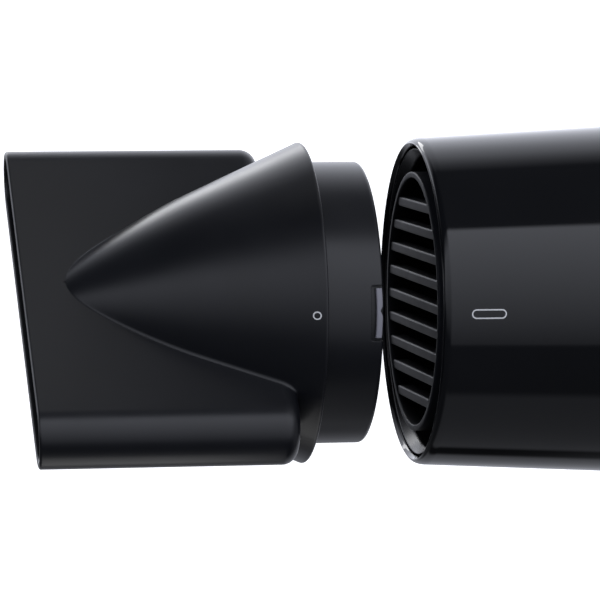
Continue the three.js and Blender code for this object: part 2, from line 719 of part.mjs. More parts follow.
// Ring with a square lattice, clipped inside the cover's skirt.
function inletFilter() {
  const LINES = 5;
  const radius = skirtRadius - COVER_WALL - GAP;
  const [from, to] = [coverStart - 5, coverStart - 5 + FILTER_THICKNESS];
  const ring = tube(radius, radius - 2, from, to, MIDDLE_ROUND);
  const lattice = [];
  for (let i = 0; i < LINES; i++) {
    const offset = (i - (LINES - 1) / 2) * ((2 * radius) / (LINES + 1));
    const reach = Math.sqrt((radius - 1) ** 2 - offset ** 2);
    lattice.push(block([from, to], [-reach, reach], [offset - 0.4, offset + 0.4]));
    lattice.push(block([from, to], [offset - 0.4, offset + 0.4], [-reach, reach]));
  }
  return join(ring, ...lattice);
}

addPiece(barrel, "inlet_cover", inletCover(), "satinBlack");
addPiece(barrel, "inlet_filter", inletFilter(), "filterMesh");

// ---------------------------------------------------------------- handle

const smooth = (value) => THREE.MathUtils.smoothstep(value, 0, 1);

// Half depth and half width of the handle at a height: slimmer at the foot, swept out at the top.
function gripSize(height) {
  const foot = smooth((FOOT_SLIMMING.from - height) / (HANDLE_BOTTOM + FOOT_SLIMMING.from));
  const sweep = smooth((height - PANEL_TOP) / (gripTop - PANEL_TOP));
  const halfDepth = gripHalfDepth - FOOT_SLIMMING.depth * foot + TOP_SWEEP.depth * sweep;
  const halfWidth = gripHalfWidth - FOOT_SLIMMING.width * foot + TOP_SWEEP.width * sweep;
  return [halfDepth, halfWidth];
}

function gripBody(inset, bottom, edge) {
  const heights = [bottom + edge, -42, -20, PANEL_TOP, 43, 48, 54, gripTop];
  const levels = heights.map((height) => {
    const [halfDepth, halfWidth] = gripSize(height);
    return [height, halfDepth - inset, halfWidth - inset];
  });
  const [, footDepth, footWidth] = levels[0];
  levels.unshift([bottom + 0.3 * edge, footDepth - 0.3 * edge, footWidth - 0.3 * edge]);
  levels.unshift([bottom, footDepth - edge, footWidth - edge]);
  return loft(levels);
}

function gripOutside() {
  return gripBody(0, -HANDLE_BOTTOM, FOOT_EDGE);
}

// Cuts and fittings shared by both halves: windows, seats for the board, the neck and the foot.
function gripShell() {
  const outside = gripOutside();
  const hollow = gripBody(HANDLE_WALL, footTop, 0.6);
  const neckRib = cut(
    block([-30, 30], [-25, 25], [neckEnd + BEAD_HEIGHT + GAP, neckEnd + BEAD_HEIGHT + GAP + 2.5]),
    barAlongZ(neckRadius + GAP, 0, [0, axisHeight], MIDDLE_ROUND),
  );
  const railHeights = [[PANEL_BOTTOM + 1, PANEL_BOTTOM + 6], [17, 22]];
  const rails = railHeights.map((level) => block([PCB_FACE - 3.5, PCB_FACE + 1.8], [-20, 20], level));
  const railRoom = block([-30, 30], [-pcbHalf + 1, pcbHalf - 1], [-60, 60]);
  const board = block(
    [PCB_FACE - PCB_THICKNESS - GAP, PCB_FACE + GAP],
    [-pcbHalf - GAP, pcbHalf + GAP],
    [PANEL_BOTTOM - GAP, PANEL_TOP - 3 + GAP],
  );
  const fittings = cut(join(neckRib, ...rails.map((rail) => cut(rail, railRoom))), board);
  return join(cut(outside, hollow), fittings.intersect(outside));
}

function gripCuts() {
  const panelHalf = PANEL_WIDTH / 2;
  const beadRoom = [neckEnd - GAP, neckEnd + BEAD_HEIGHT + GAP];
  const cuts = [
    barrelEnvelope(GAP),
    barAlongZ(neckRadius + NECK_BEAD + GAP, 0, beadRoom, MIDDLE_ROUND),
    block([panelFace, 40], [-panelHalf, panelHalf], [PANEL_BOTTOM, PANEL_TOP]),
    barAlongX(BUTTON_RADIUS + GAP, BUTTON_HEIGHT, [8, 40]),
    barAlongX(BUTTON_RADIUS + BUTTON_RIM + GAP, BUTTON_HEIGHT, [8, wallInside]),
    barAlongZ(GLAND_RADIUS + GAP, -GLAND_AHEAD, [-HANDLE_BOTTOM - 5, footTop + 5]),
    block(loopNeck(GAP), [-LOOP_THICKNESS / 2 - GAP, LOOP_THICKNESS / 2 + GAP], [-HANDLE_BOTTOM - 5, footTop + 1]),
  ];
  for (const middle of [SPEED_HEIGHT, heatHeight]) {
    const half = (SLIDER_TRAVEL + SLIDER_STEM) / 2 + GAP;
    const across = SLIDER_STEM / 2 + GAP;
    cuts.push(block([8, 40], [-across, across], [middle - half, middle + half]));
  }
  return cuts;
}

function barAlongX(radius, z, [x0, x1], sides = SMALL_ROUND) {
  return disc(radius, x0, x1, sides).translate([0, 0, z]);
}

function loopNeck(clearance) {
  return [LOOP_BEHIND - 3 - clearance, LOOP_BEHIND + 3 + clearance];
}

// One half of the handle. The screws go in from the right and bite in the left half's bosses.
function handleHalf(side) {
  const seam = side < 0 ? [-40, -GAP / 2] : [GAP / 2, 40];
  const half = block([-60, 60], seam, [-HANDLE_BOTTOM - 5, axisHeight]);
  const outside = gripOutside();
  let made = gripShell();
  for (const [x, z] of Object.values(SCREW_PLACES)) {
    made = join(made, barAlongY(BOSS_RADIUS, x, z, [-25, 25]).intersect(outside));
  }
  made = cut(made, ...gripCuts());
  for (const [x, z] of Object.values(SCREW_PLACES)) {
    const { headFace, tip } = screwSpan(z);
    made = cut(made, barAlongY(SCREW_RADIUS + GAP, x, z, [tip - GAP, headFace + 1]));
    made = cut(made, barAlongY(SCREW_HEAD_RADIUS + GAP, x, z, [headFace - GAP, 25]));
  }
  return made.intersect(half);
}

// Where a screw's head bears on the right half, and where its tip ends in the left half.
function screwSpan(z) {
  const [, halfWidth] = gripSize(z);
  return { headFace: halfWidth - SCREW_HEAD - 2.2, tip: -halfWidth + HANDLE_WALL + 1.5 };
}

function handleScrew([x, z]) {
  const { headFace, tip } = screwSpan(z);
  const shank = barAlongY(SCREW_RADIUS, x, z, [tip, headFace + SCREW_HEAD / 2]);
  const head = barAlongY(SCREW_HEAD_RADIUS, x, z, [headFace, headFace + SCREW_HEAD]);
  const socket = [headFace + SCREW_HEAD / 2, headFace + SCREW_HEAD + 1];
  const across = block([x - 1.6, x + 1.6], socket, [z - 0.4, z + 0.4]);
  const upright = block([x - 0.4, x + 0.4], socket, [z - 1.6, z + 1.6]);
  return cut(join(shank, head), across, upright);
}

addPiece(dryer, "handle_left", handleHalf(-1), "satinBlack");
addPiece(dryer, "handle_right", handleHalf(1), "satinBlack");
for (const [place, at] of Object.entries(SCREW_PLACES)) {
  addPiece(dryer, `handle_screw_${place}`, handleScrew(at), "steel");
}

// ---------------------------------------------------------------- switches

const knobBack = panelFace + GAP;
const switchFront = PCB_FACE + GAP;
const switchTop = wallInside - 3.6;
const grooveDepth = 2;

// Slide switch on the board, with a groove in its face that the slider's stem runs in.
function slideSwitch(middle) {
  const half = (SLIDER_TRAVEL + SLIDER_STEM) / 2;
  const body = block([switchFront, switchTop], [-4.5, 4.5], [middle - half - 2, middle + half + 2]);
  const across = SLIDER_STEM / 2 + GAP;
  const groove = [middle - half - GAP, middle + half + GAP];
  return cut(body, block([switchTop - grooveDepth, 40], [-across, across], groove));
}

// Thumb slider at the bottom of its travel, with ridges across its face.
function thumbSlider(middle) {
  const RIDGES = 3;
  const rest = middle - SLIDER_TRAVEL / 2;
  const [low, high] = [rest - SLIDER_HEIGHT / 2, rest + SLIDER_HEIGHT / 2];
  const knobFace = knobBack + SLIDER_THICKNESS;
  const knob = block([knobBack, knobFace], [-SLIDER_WIDTH / 2, SLIDER_WIDTH / 2], [low, high]);
  const stemHalf = SLIDER_STEM / 2;
  const stemTip = switchTop - grooveDepth + GAP;
  const stem = block([stemTip, knobBack + 1], [-stemHalf, stemHalf], [rest - stemHalf, rest + stemHalf]);
  const valleys = [];
  for (let i = 0; i < RIDGES; i++) {
    const height = rest + (i - (RIDGES - 1) / 2) * 2.4;
    valleys.push(block([knobFace - 0.7, 40], [-20, 20], [height - 0.5, height + 0.5]));
  }
  return cut(join(knob, stem), ...valleys);
}

const flangeFace = wallInside - GAP;
const flangeBack = flangeFace - BUTTON_FLANGE;
const microTop = flangeBack - 5;

// Push button held in by its flange, with a plunger over the microswitch.
function coolButton() {
  const cap = barAlongX(BUTTON_RADIUS, BUTTON_HEIGHT, [flangeBack, panelFace + 2.2]);
  const flange = barAlongX(BUTTON_RADIUS + BUTTON_RIM, BUTTON_HEIGHT, [flangeBack, flangeFace]);
  const plunger = barAlongX(1.4, BUTTON_HEIGHT, [microTop + BUTTON_TRAVEL + GAP, flangeBack + 0.5]);
  return join(cap, flange, plunger);
}

function buttonSpring() {
  const from = microTop + GAP + SPRING_WIRE;
  const to = flangeBack - GAP - SPRING_WIRE;
  const pitch = (to - from) / SPRING_TURNS;
  return solid(helix(3, SPRING_WIRE, from, pitch, SPRING_TURNS, 8, 4)).translate([0, 0, BUTTON_HEIGHT]);
}

const pcb = block(
  [PCB_FACE - PCB_THICKNESS, PCB_FACE],
  [-pcbHalf, pcbHalf],
  [PANEL_BOTTOM, PANEL_TOP - 3],
);
addPiece(dryer, "switch_board", pcb, "circuitBoard");
addPiece(dryer, "speed_switch", slideSwitch(SPEED_HEIGHT), "softBlack");
addPiece(dryer, "heat_switch", slideSwitch(heatHeight), "softBlack");
const microLevel = [BUTTON_HEIGHT - 4, BUTTON_HEIGHT + 4];
addPiece(dryer, "cool_microswitch", block([switchFront, microTop], [-5, 5], microLevel), "greyPlastic");
addPiece(dryer, "speed_slider", thumbSlider(SPEED_HEIGHT), "greyPlastic");
addPiece(dryer, "heat_slider", thumbSlider(heatHeight), "greyPlastic");
addPiece(dryer, "cool_button", coolButton(), "greyPlastic");
addPiece(dryer, "cool_button_spring", buttonSpring(), "steel");

// ---------------------------------------------------------------- foot of the handle

// Rubber bush that the lead would leave through, gripped by the foot's wall.
function cordGland() {
  const foot = -HANDLE_BOTTOM;
  const outer = barAlongZ(GLAND_RADIUS, -GLAND_AHEAD, [foot - GLAND_STUB, footTop + 3]);
  const flange = barAlongZ(GLAND_RADIUS + 1.5, -GLAND_AHEAD, [footTop + GAP, footTop + 2]);
  const bore = barAlongZ(GLAND_BORE, -GLAND_AHEAD, [foot - GLAND_STUB - 1, footTop + 5]);
  return cut(join(outer, flange), bore);
}

// Ring below the foot on a flat neck, with a head inside the handle.
function hangingLoop() {
  const centre = -HANDLE_BOTTOM - LOOP_DROP;
  const half = LOOP_THICKNESS / 2;
  const ring = barAlongY(LOOP_RADIUS, LOOP_BEHIND, centre, [-half, half], MIDDLE_ROUND);
  const hole = barAlongY(LOOP_RADIUS - LOOP_WIDTH, LOOP_BEHIND, centre, [-half - 1, half + 1], MIDDLE_ROUND);
  const neck = block(loopNeck(0), [-half, half], [centre, footTop + 1.5]);
  const head = block(
    [LOOP_BEHIND - 3, LOOP_BEHIND + 3],
    [-half - 2, half + 2],
    [footTop + GAP, footTop + 2.2],
  );
  return join(cut(join(ring, neck), hole), head);
}

addPiece(dryer, "cord_gland", cordGland(), "softBlack");
addPiece(dryer, "hanging_loop", hangingLoop(), "softBlack");

// ---------------------------------------------------------------- concentrator nozzle
// Measured from the skirt's rim: the collar stands out towards the barrel at +X.

function nozzleCollar() {
  const ring = turned([
    [-COLLAR_INSIDE, collarInner],
    [-COLLAR_INSIDE, collarOuter + FLANGE],
    [-COLLAR_INSIDE + FLANGE_LENGTH, collarOuter + FLANGE],
    [-COLLAR_INSIDE + FLANGE_LENGTH, collarOuter],
    [COLLAR_REACH, collarOuter],
    [COLLAR_REACH, collarInner],
  ]);
  const half = NOTCH_HEIGHT / 2;
  const notch = block([COLLAR_REACH - NOTCH_DEPTH, COLLAR_REACH + 1], [-40, 0], [-half, half]);
  const backing = turned([
    [-COLLAR_INSIDE, 0],
    [-COLLAR_INSIDE, collarInner + NOTCH_BACKING],
    [COLLAR_REACH + 2, collarInner + NOTCH_BACKING],
    [COLLAR_REACH + 2, 0],
  ]);
  return cut(ring, cut(notch, backing));
}

// Springy tab that lies in the collar's notch.
function collarSnapTab() {
  const from = COLLAR_REACH - NOTCH_DEPTH + GAP;
  const half = TAB_HEIGHT / 2;
  const band = tube(collarOuter - 0.2, collarInner + NOTCH_BACKING + 0.1, from, from + TAB_THICKNESS);
  return band.intersect(block([-50, 50], [-40, 0], [-half, half]));
}

// Line of the cone from its rim to the tip of its rounded nose, moved in by a wall.
function coneLine(inset) {
  const rimRadius = skirtOuter - inset * Math.hypot(1, CONE_SLOPE);
  const noseLength = NOSE_LENGTH - inset;
  const line = [[0, rimRadius]];
  for (const share of [1, 0.8, 0.6, 0.42, 0.27, 0.15, 0.06, 0]) {
    const along = -CONE_LENGTH - noseLength * (1 - share);
    const flank = rimRadius + CONE_SLOPE * along;
    line.push([along, flank * (1 - (1 - share) ** 2) ** NOSE_BLUNTNESS]);
  }
  return line;
}

// Flat tube with round edges. Its plan has rounded corners at the rear end.
function bladeTube(inset, from, to) {
  const halfWidth = BLADE_WIDTH / 2 - inset;
  const halfThickness = BLADE_THICKNESS / 2 - inset;
  const straight = halfWidth - halfThickness;
  const section = new THREE.Shape();
  section.absarc(straight, 0, halfThickness, -Math.PI / 2, Math.PI / 2, false);
  section.absarc(-straight, 0, halfThickness, Math.PI / 2, (3 * Math.PI) / 2, false);
  const settings = { depth: to - from, bevelEnabled: false, curveSegments: 5 };
  const bar = new THREE.ExtrudeGeometry(section, settings).rotateY(Math.PI / 2).rotateX(Math.PI / 2);
  bar.translate(from, 0, 0);
  const corner = BLADE_CORNER - inset;
  const plan = new THREE.Shape();
  plan.moveTo(from - 1, -halfWidth - 1);
  plan.lineTo(to - corner, -halfWidth - 1);
  plan.lineTo(to - corner, -halfWidth);
  plan.absarc(to - corner, -halfWidth + corner, corner, -Math.PI / 2, 0, false);
  plan.absarc(to - corner, halfWidth - corner, corner, 0, Math.PI / 2, false);
  plan.lineTo(to - corner, halfWidth + 1);
  plan.lineTo(from - 1, halfWidth + 1);
  const trim = plate(plan, 3 * BLADE_THICKNESS, 3);
  return solid(bar).intersect(solid(trim));
}

function nozzleShell() {
  const mouth = BLADE_LENGTH + BLADE_BEHIND_SKIRT;
  const rear = -BLADE_BEHIND_SKIRT;
  const outerCone = turned([...coneLine(0), [0, 0]]);
  const innerCone = turned([...coneLine(NOZZLE_WALL).map(([along, radius], index) =>
    [index === 0 ? 1 : along, radius]), [1, 0]]);
  const outerBlade = bladeTube(0, -mouth, rear);
  const innerBlade = bladeTube(NOZZLE_WALL, -mouth - 1, rear - NOZZLE_WALL);
  const turn = [BLADE_TURN_DEG, 0, 0];
  const seat = disc(collarOuter + FLANGE + GAP, -COLLAR_INSIDE - GAP, 1);
  const shell = cut(join(outerCone, outerBlade.rotate(turn)), innerCone, innerBlade.rotate(turn), seat);
  const beadFront = -COLLAR_INSIDE + FLANGE_LENGTH + GAP;
  const beadRoot = skirtOuter + CONE_SLOPE * beadFront - NOZZLE_WALL / 2;
  return join(shell, tube(beadRoot, collarOuter + GAP, beadFront, beadFront + 1));
}

addPiece(nozzle, "nozzle_collar", nozzleCollar(), "satinBlack");
addPiece(nozzle, "collar_snap_tab", collarSnapTab(), "greyPlastic");
addPiece(nozzle, "nozzle_shell", nozzleShell(), "satinBlack");

export default dryer;
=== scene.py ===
import json
import math

import bmesh
import bpy
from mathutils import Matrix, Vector

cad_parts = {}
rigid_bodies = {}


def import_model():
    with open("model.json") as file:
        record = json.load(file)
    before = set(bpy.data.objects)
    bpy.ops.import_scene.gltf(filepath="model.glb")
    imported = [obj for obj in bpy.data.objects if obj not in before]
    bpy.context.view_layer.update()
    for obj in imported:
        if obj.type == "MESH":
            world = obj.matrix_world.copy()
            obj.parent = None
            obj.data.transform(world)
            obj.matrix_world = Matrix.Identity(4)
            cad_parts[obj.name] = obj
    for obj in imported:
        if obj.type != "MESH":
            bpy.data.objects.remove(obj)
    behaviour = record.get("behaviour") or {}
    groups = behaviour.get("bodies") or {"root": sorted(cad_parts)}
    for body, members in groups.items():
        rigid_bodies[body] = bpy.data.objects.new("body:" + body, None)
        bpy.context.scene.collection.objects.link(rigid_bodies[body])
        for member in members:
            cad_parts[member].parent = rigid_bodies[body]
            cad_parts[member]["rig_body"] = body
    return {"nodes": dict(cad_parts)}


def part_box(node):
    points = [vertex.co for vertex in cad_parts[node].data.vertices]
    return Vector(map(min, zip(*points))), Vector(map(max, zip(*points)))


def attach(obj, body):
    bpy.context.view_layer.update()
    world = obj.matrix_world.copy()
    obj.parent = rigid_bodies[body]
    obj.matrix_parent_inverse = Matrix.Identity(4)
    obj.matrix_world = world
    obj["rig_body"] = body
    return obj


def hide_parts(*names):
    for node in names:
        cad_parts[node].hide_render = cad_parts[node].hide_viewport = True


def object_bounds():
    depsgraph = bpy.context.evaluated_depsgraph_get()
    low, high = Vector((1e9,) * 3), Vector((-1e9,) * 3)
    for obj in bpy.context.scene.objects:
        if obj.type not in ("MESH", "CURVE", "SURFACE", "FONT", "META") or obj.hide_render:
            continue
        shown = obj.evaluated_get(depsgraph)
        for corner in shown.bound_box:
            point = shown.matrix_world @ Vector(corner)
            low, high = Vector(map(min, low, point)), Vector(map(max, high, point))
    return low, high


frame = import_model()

cad_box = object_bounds()

# ---------------------------------------------------------------- Camera
# A long lens well off the dryer's left side, a little above the barrel and turned towards the tail,
# so that the nozzle's mouth and the open front of the barrel both show.

MM = 0.001
bezel_low, bezel_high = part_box("front_bezel")
barrel_low, barrel_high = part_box("barrel_shell")
rim = Vector((barrel_low.x, 0, (bezel_low.z + bezel_high.z) / 2))

CAMERA_FROM_RIM = Vector((-170.35, -835.3, 68.2)) * MM
CAMERA_HEADING = math.radians(10.1)
CAMERA_DIP = math.radians(4.56)

camera_data = bpy.data.cameras.new("camera")
camera_data.lens = 270
camera_data.sensor_width = 36
camera = bpy.data.objects.new("camera", camera_data)
camera.location = rim + CAMERA_FROM_RIM
camera.rotation_euler = (math.radians(90) - CAMERA_DIP, 0, -CAMERA_HEADING)
bpy.context.scene.collection.objects.link(camera)
bpy.context.scene.camera = camera

# ---------------------------------------------------------------- Studio
# A wide pale floor under the dryer, and soft light in bands that run along the barrel: a tall softbox on
# the left side, an open white sweep behind, and black flags between them that keep the plastic dark.

FLOOR_HALF = 40
FLOOR_GAP = 0.5 * MM
# Each band: the angle about the barrel's line, 0 at the left side and 90 overhead, and the brightness.
SIDE_BANDS = (
    (-180, 0.55),
    (-150, 0.35),
    (-134, 0.25),
    (-129, 0.02),
    (-121, 0.02),
    (-117, 0.22),
    (-66, 0.22),
    (-61, 0.06),
    (-27, 0.06),
    (-25.5, 0.26),
    (54.3, 1.6),
    (55.3, 0.08),
    (106, 0.06),
    (114, 0.35),
    (124, 0.80),
    (142, 1.30),
    (180, 1.80),
)
FRONT_BANDS = (
    (-180, 0.06),
    (-24, 0.04),
    (4, 0.50),
    (40, 1.05),
    (56, 0.02),
    (112, 0.02),
    (126, 0.40),
    (142, 1.20),
    (156, 1.50),
    (180, 0.80),
)
TAIL_BANDS = (
    (-180, 0.70),
    (-112, 0.40),
    (-104, 0.02),
    (-30, 0.02),
    (-25, 0.40),
    (54, 1.60),
    (62, 0.30),
    (104, 0.30),
    (142, 1.60),
    (180, 2.00),
)
END_BANDS = ((-180, 0.25), (180, 0.25))
FRONT_EDGE = (-0.12, -0.34)  # how far forward the side bands end and the front bands begin
TAIL_EDGE = (0.17, 0.30)
END_EDGE = (0.70, 0.92)
STUDIO_TINT = (0.96, 0.99, 1.10)
BRIGHTEST = 3.0


def link(tree, source, target):
    tree.links.new(source, target)


def make_floor():
    half = FLOOR_HALF
    mesh = bpy.data.meshes.new("floor")
    corners = [(-half, -half, 0), (half, -half, 0), (half, half, 0), (-half, half, 0)]
    mesh.from_pydata(corners, [], [(0, 1, 2, 3)])
    floor = bpy.data.objects.new("floor", mesh)
    floor.location.z = cad_box[0].z - FLOOR_GAP
    bpy.context.scene.collection.objects.link(floor)
    floor.visible_glossy = False
    floor.visible_diffuse = False
    material = bpy.data.materials.new("floor")
    material.use_nodes = True
    shader = material.node_tree.nodes["Principled BSDF"]
    shader.inputs["Base Color"].default_value = (0.9, 0.9, 0.9, 1)
    shader.inputs["Roughness"].default_value = 0.9
    shader.inputs["Emission Color"].default_value = (1, 1, 1, 1)
    shader.inputs["Emission Strength"].default_value = 0.75
    mesh.materials.append(material)


def math_node(tree, operation, *values):
    node = tree.nodes.new("ShaderNodeMath")
    node.operation = operation
    for socket, value in zip(node.inputs, values):
        if isinstance(value, (int, float)):
            socket.default_value = value
        else:
            link(tree, value, socket)
    return node.outputs[0]


def make_world():
    world = bpy.data.worlds.new("studio")
    bpy.context.scene.world = world
    world.use_nodes = True
    tree = world.node_tree
    tree.nodes.clear()
    place = tree.nodes.new("ShaderNodeTexCoord")
    parts = tree.nodes.new("ShaderNodeSeparateXYZ")
    link(tree, place.outputs["Generated"], parts.inputs[0])
    towards = math_node(tree, "MULTIPLY", parts.outputs["Y"], -1.0)
    angle = math_node(tree, "ARCTAN2", parts.outputs["Z"], towards)
    turn = math_node(tree, "MULTIPLY_ADD", angle, 0.5 / math.pi, 0.5)

    def ring_of(bands):
        ramp = tree.nodes.new("ShaderNodeValToRGB")
        while len(ramp.color_ramp.elements) < len(bands):
            ramp.color_ramp.elements.new(0.5)
        for stop, (degrees, brightness) in zip(ramp.color_ramp.elements, bands):
            stop.position = (degrees + 180) / 360
            level = brightness / BRIGHTEST
            stop.color = (*[level * tint for tint in STUDIO_TINT], 1)
        link(tree, turn, ramp.inputs["Fac"])
        return ramp.outputs["Color"]

    def blend(edge, first, second):
        share = tree.nodes.new("ShaderNodeMapRange")
        share.interpolation_type = "SMOOTHSTEP"
        link(tree, parts.outputs["X"], share.inputs["Value"])
        share.inputs["From Min"].default_value = edge[0]
        share.inputs["From Max"].default_value = edge[1]
        mixed = tree.nodes.new("ShaderNodeMix")
        mixed.data_type = "RGBA"
        link(tree, share.outputs["Result"], mixed.inputs["Factor"])
        link(tree, first, mixed.inputs["A"])
        link(tree, second, mixed.inputs["B"])
        return mixed.outputs["Result"]

    light = blend(TAIL_EDGE, ring_of(SIDE_BANDS), ring_of(TAIL_BANDS))
    light = blend(FRONT_EDGE, light, ring_of(FRONT_BANDS))
    light = blend(END_EDGE, light, ring_of(END_BANDS))
    lit = tree.nodes.new("ShaderNodeBackground")
    link(tree, light, lit.inputs["Color"])
    lit.inputs["Strength"].default_value = BRIGHTEST
    plain = tree.nodes.new("ShaderNodeBackground")
    plain.inputs["Color"].default_value = (1, 1, 1, 1)
    plain.inputs["Strength"].default_value = 1.05
    path = tree.nodes.new("ShaderNodeLightPath")
    mix = tree.nodes.new("ShaderNodeMixShader")
    link(tree, path.outputs["Is Camera Ray"], mix.inputs["Fac"])
    link(tree, lit.outputs[0], mix.inputs[1])
    link(tree, plain.outputs[0], mix.inputs[2])
    output = tree.nodes.new("ShaderNodeOutputWorld")
    link(tree, mix.outputs[0], output.inputs["Surface"])


def soft_box(name, centre, size, watts):
    data = bpy.data.lights.new(name, "AREA")
    data.shape = "RECTANGLE"
    data.size, data.size_y = size
    data.energy = watts
    light = bpy.data.objects.new(name, data)
    light.location = centre
    towards = Vector((centre[0], 0, rim.z)) - Vector(centre)
    light.rotation_euler = towards.to_track_quat("-Z", "Y").to_euler()
    light.visible_camera = False
    bpy.context.scene.collection.objects.link(light)
    return light


make_floor()
make_world()
soft_box("strip_behind_nozzle", (-0.25, 0.56, 0.42), (0.24, 0.14), 0.34)
panels = [
    soft_box("panel_over_blade", (-0.175, -0.01, 0.36), (0.11, 0.14), 0.024),
    soft_box("panel_under_blade", (-0.155, 0.0, -0.07), (0.07, 0.10), 0.018),
]
bpy.context.scene.view_settings.view_transform = "Standard"

# ---------------------------------------------------------------- Barrel casing
# One moulding in high-gloss black: a gently flared tube with a rolled front edge, and below it the short
# beaded spigot that the handle clamps round. The gloss is the tool's polish, with faint flow ripple.

SHELL_WALL = 2.2
RIM_RADIUS = 30.2
RIM_LIP = 0.8
LIP_EDGE = 0.15
LIP_DEPTH = 0.5
FRONT_PROUD = 0.2
SHOULDER = 0.9
SHOULDER_DEPTH = 2.2
FLARE = math.tan(math.radians(3.1))
TAIL_LENGTH = 16
TAIL_INSET = 1.2
FINE_ROUND = 160
SMALL_ROUND = 64
barrel_length = (barrel_high.x - barrel_low.x) / MM
neck_end = (barrel_low.z - rim.z) / MM
NECK_RADIUS = 11
NECK_BORE = 9
NECK_BEAD = 1.6
BEAD_HEIGHT = 2.5


def rounded(outline, steps=5):
    """A closed outline of (along, radius, rounding) corners, with each rounded corner drawn as a curve."""
    points = []
    for index, (along, radius, rounding) in enumerate(outline):
        here = Vector((along, radius))
        if not rounding:
            points.append(here)
            continue
        before = Vector(outline[index - 1][:2]) - here
        after = Vector(outline[(index + 1) % len(outline)][:2]) - here
        start = here + before.normalized() * rounding
        end = here + after.normalized() * rounding
        for step in range(steps + 1):
            t = step / steps
            points.append(start * (1 - t) ** 2 + here * 2 * t * (1 - t) + end * t**2)
    return points


def new_piece(name, vertices, faces, sharp=35):
    """A mesh object with merged corners, faces out and smooth shading up to the sharp angle."""
    mesh = bpy.data.meshes.new(name)
    mesh.from_pydata([tuple(v) for v in vertices], [], faces)
    piece = bpy.data.objects.new(name, mesh)
    bpy.context.scene.collection.objects.link(piece)
    clean(piece, sharp)
    return piece


def clean(piece, sharp=35):
    work = bmesh.new()
    work.from_mesh(piece.data)
    bmesh.ops.remove_doubles(work, verts=work.verts, dist=0.001 * MM)
    bmesh.ops.recalc_face_normals(work, faces=work.faces)
    work.to_mesh(piece.data)
    work.free()
    piece.data.shade_smooth()
    piece.data.set_sharp_from_angle(angle=math.radians(sharp))
    if "even normals" not in piece.modifiers:
        even = piece.modifiers.new("even normals", "WEIGHTED_NORMAL")
        even.keep_sharp = True


def turned(name, outline, axis="X", centre=rim, sides=FINE_ROUND, steps=5):
    """A closed outline in millimetres, swept round an axis through centre."""
    profile = rounded(outline, steps)
    vertices = []
    for side in range(sides):
        angle = 2 * math.pi * side / sides
        across, upright = math.cos(angle), math.sin(angle)
        for along, radius in profile:
            a, u, v = along * MM, radius * across * MM, radius * upright * MM
            place = {"X": (a, u, v), "Y": (v, a, u), "Z": (u, v, a)}[axis]
            vertices.append(centre + Vector(place))
    count = len(profile)
    faces = []
    for side in range(sides):
        near, far = side * count, (side + 1) % sides * count
        for i in range(count):
            j = (i + 1) % count
            if profile[i][1] < 1e-6 and profile[j][1] < 1e-6:
                continue
            faces.append((near + i, near + j, far + j, far + i))
    return new_piece(name, vertices, faces)


def carve(piece, tool, operation="DIFFERENCE", sharp=35):
    """Cuts the tool out of the piece, or joins it on, and clears the tool away."""
    step = piece.modifiers.new("carve", "BOOLEAN")
    step.operation = operation
    step.solver = "EXACT"
    step.object = tool
    piece.modifiers.move(len(piece.modifiers) - 1, 0)
    for other in list(piece.modifiers)[1:]:
        piece.modifiers.remove(other)
    tool.modifiers.clear()
    settled = bpy.data.meshes.new_from_object(piece.evaluated_get(bpy.context.evaluated_depsgraph_get()))
    piece.modifiers.clear()
    piece.data = settled
    bpy.data.objects.remove(tool)
    clean(piece, sharp)


def shell_radius(along):
    """Outside radius of the casing at a distance behind the front edge."""
    if along < SHOULDER_DEPTH:
        return RIM_RADIUS + SHOULDER * math.sqrt(1 - (1 - along / SHOULDER_DEPTH) ** 2)
    straight_end = barrel_length - TAIL_LENGTH
    flared = RIM_RADIUS + SHOULDER + (min(along, straight_end) - SHOULDER_DEPTH) * FLARE
    return flared - TAIL_INSET * (max(0, along - straight_end) / TAIL_LENGTH) ** 2


def barrel_line(steps_front=14, steps_body=24, steps_tail=8):
    stops = [SHOULDER_DEPTH * (1 - math.cos(math.pi / 2 * i / steps_front)) for i in range(steps_front + 1)]
    straight_end = barrel_length - TAIL_LENGTH
    body = straight_end - SHOULDER_DEPTH
    stops += [SHOULDER_DEPTH + body * i / steps_body for i in range(1, steps_body + 1)]
    stops += [straight_end + TAIL_LENGTH * i / steps_tail for i in range(1, steps_tail)]
    return [(along, shell_radius(along), 0) for along in stops]


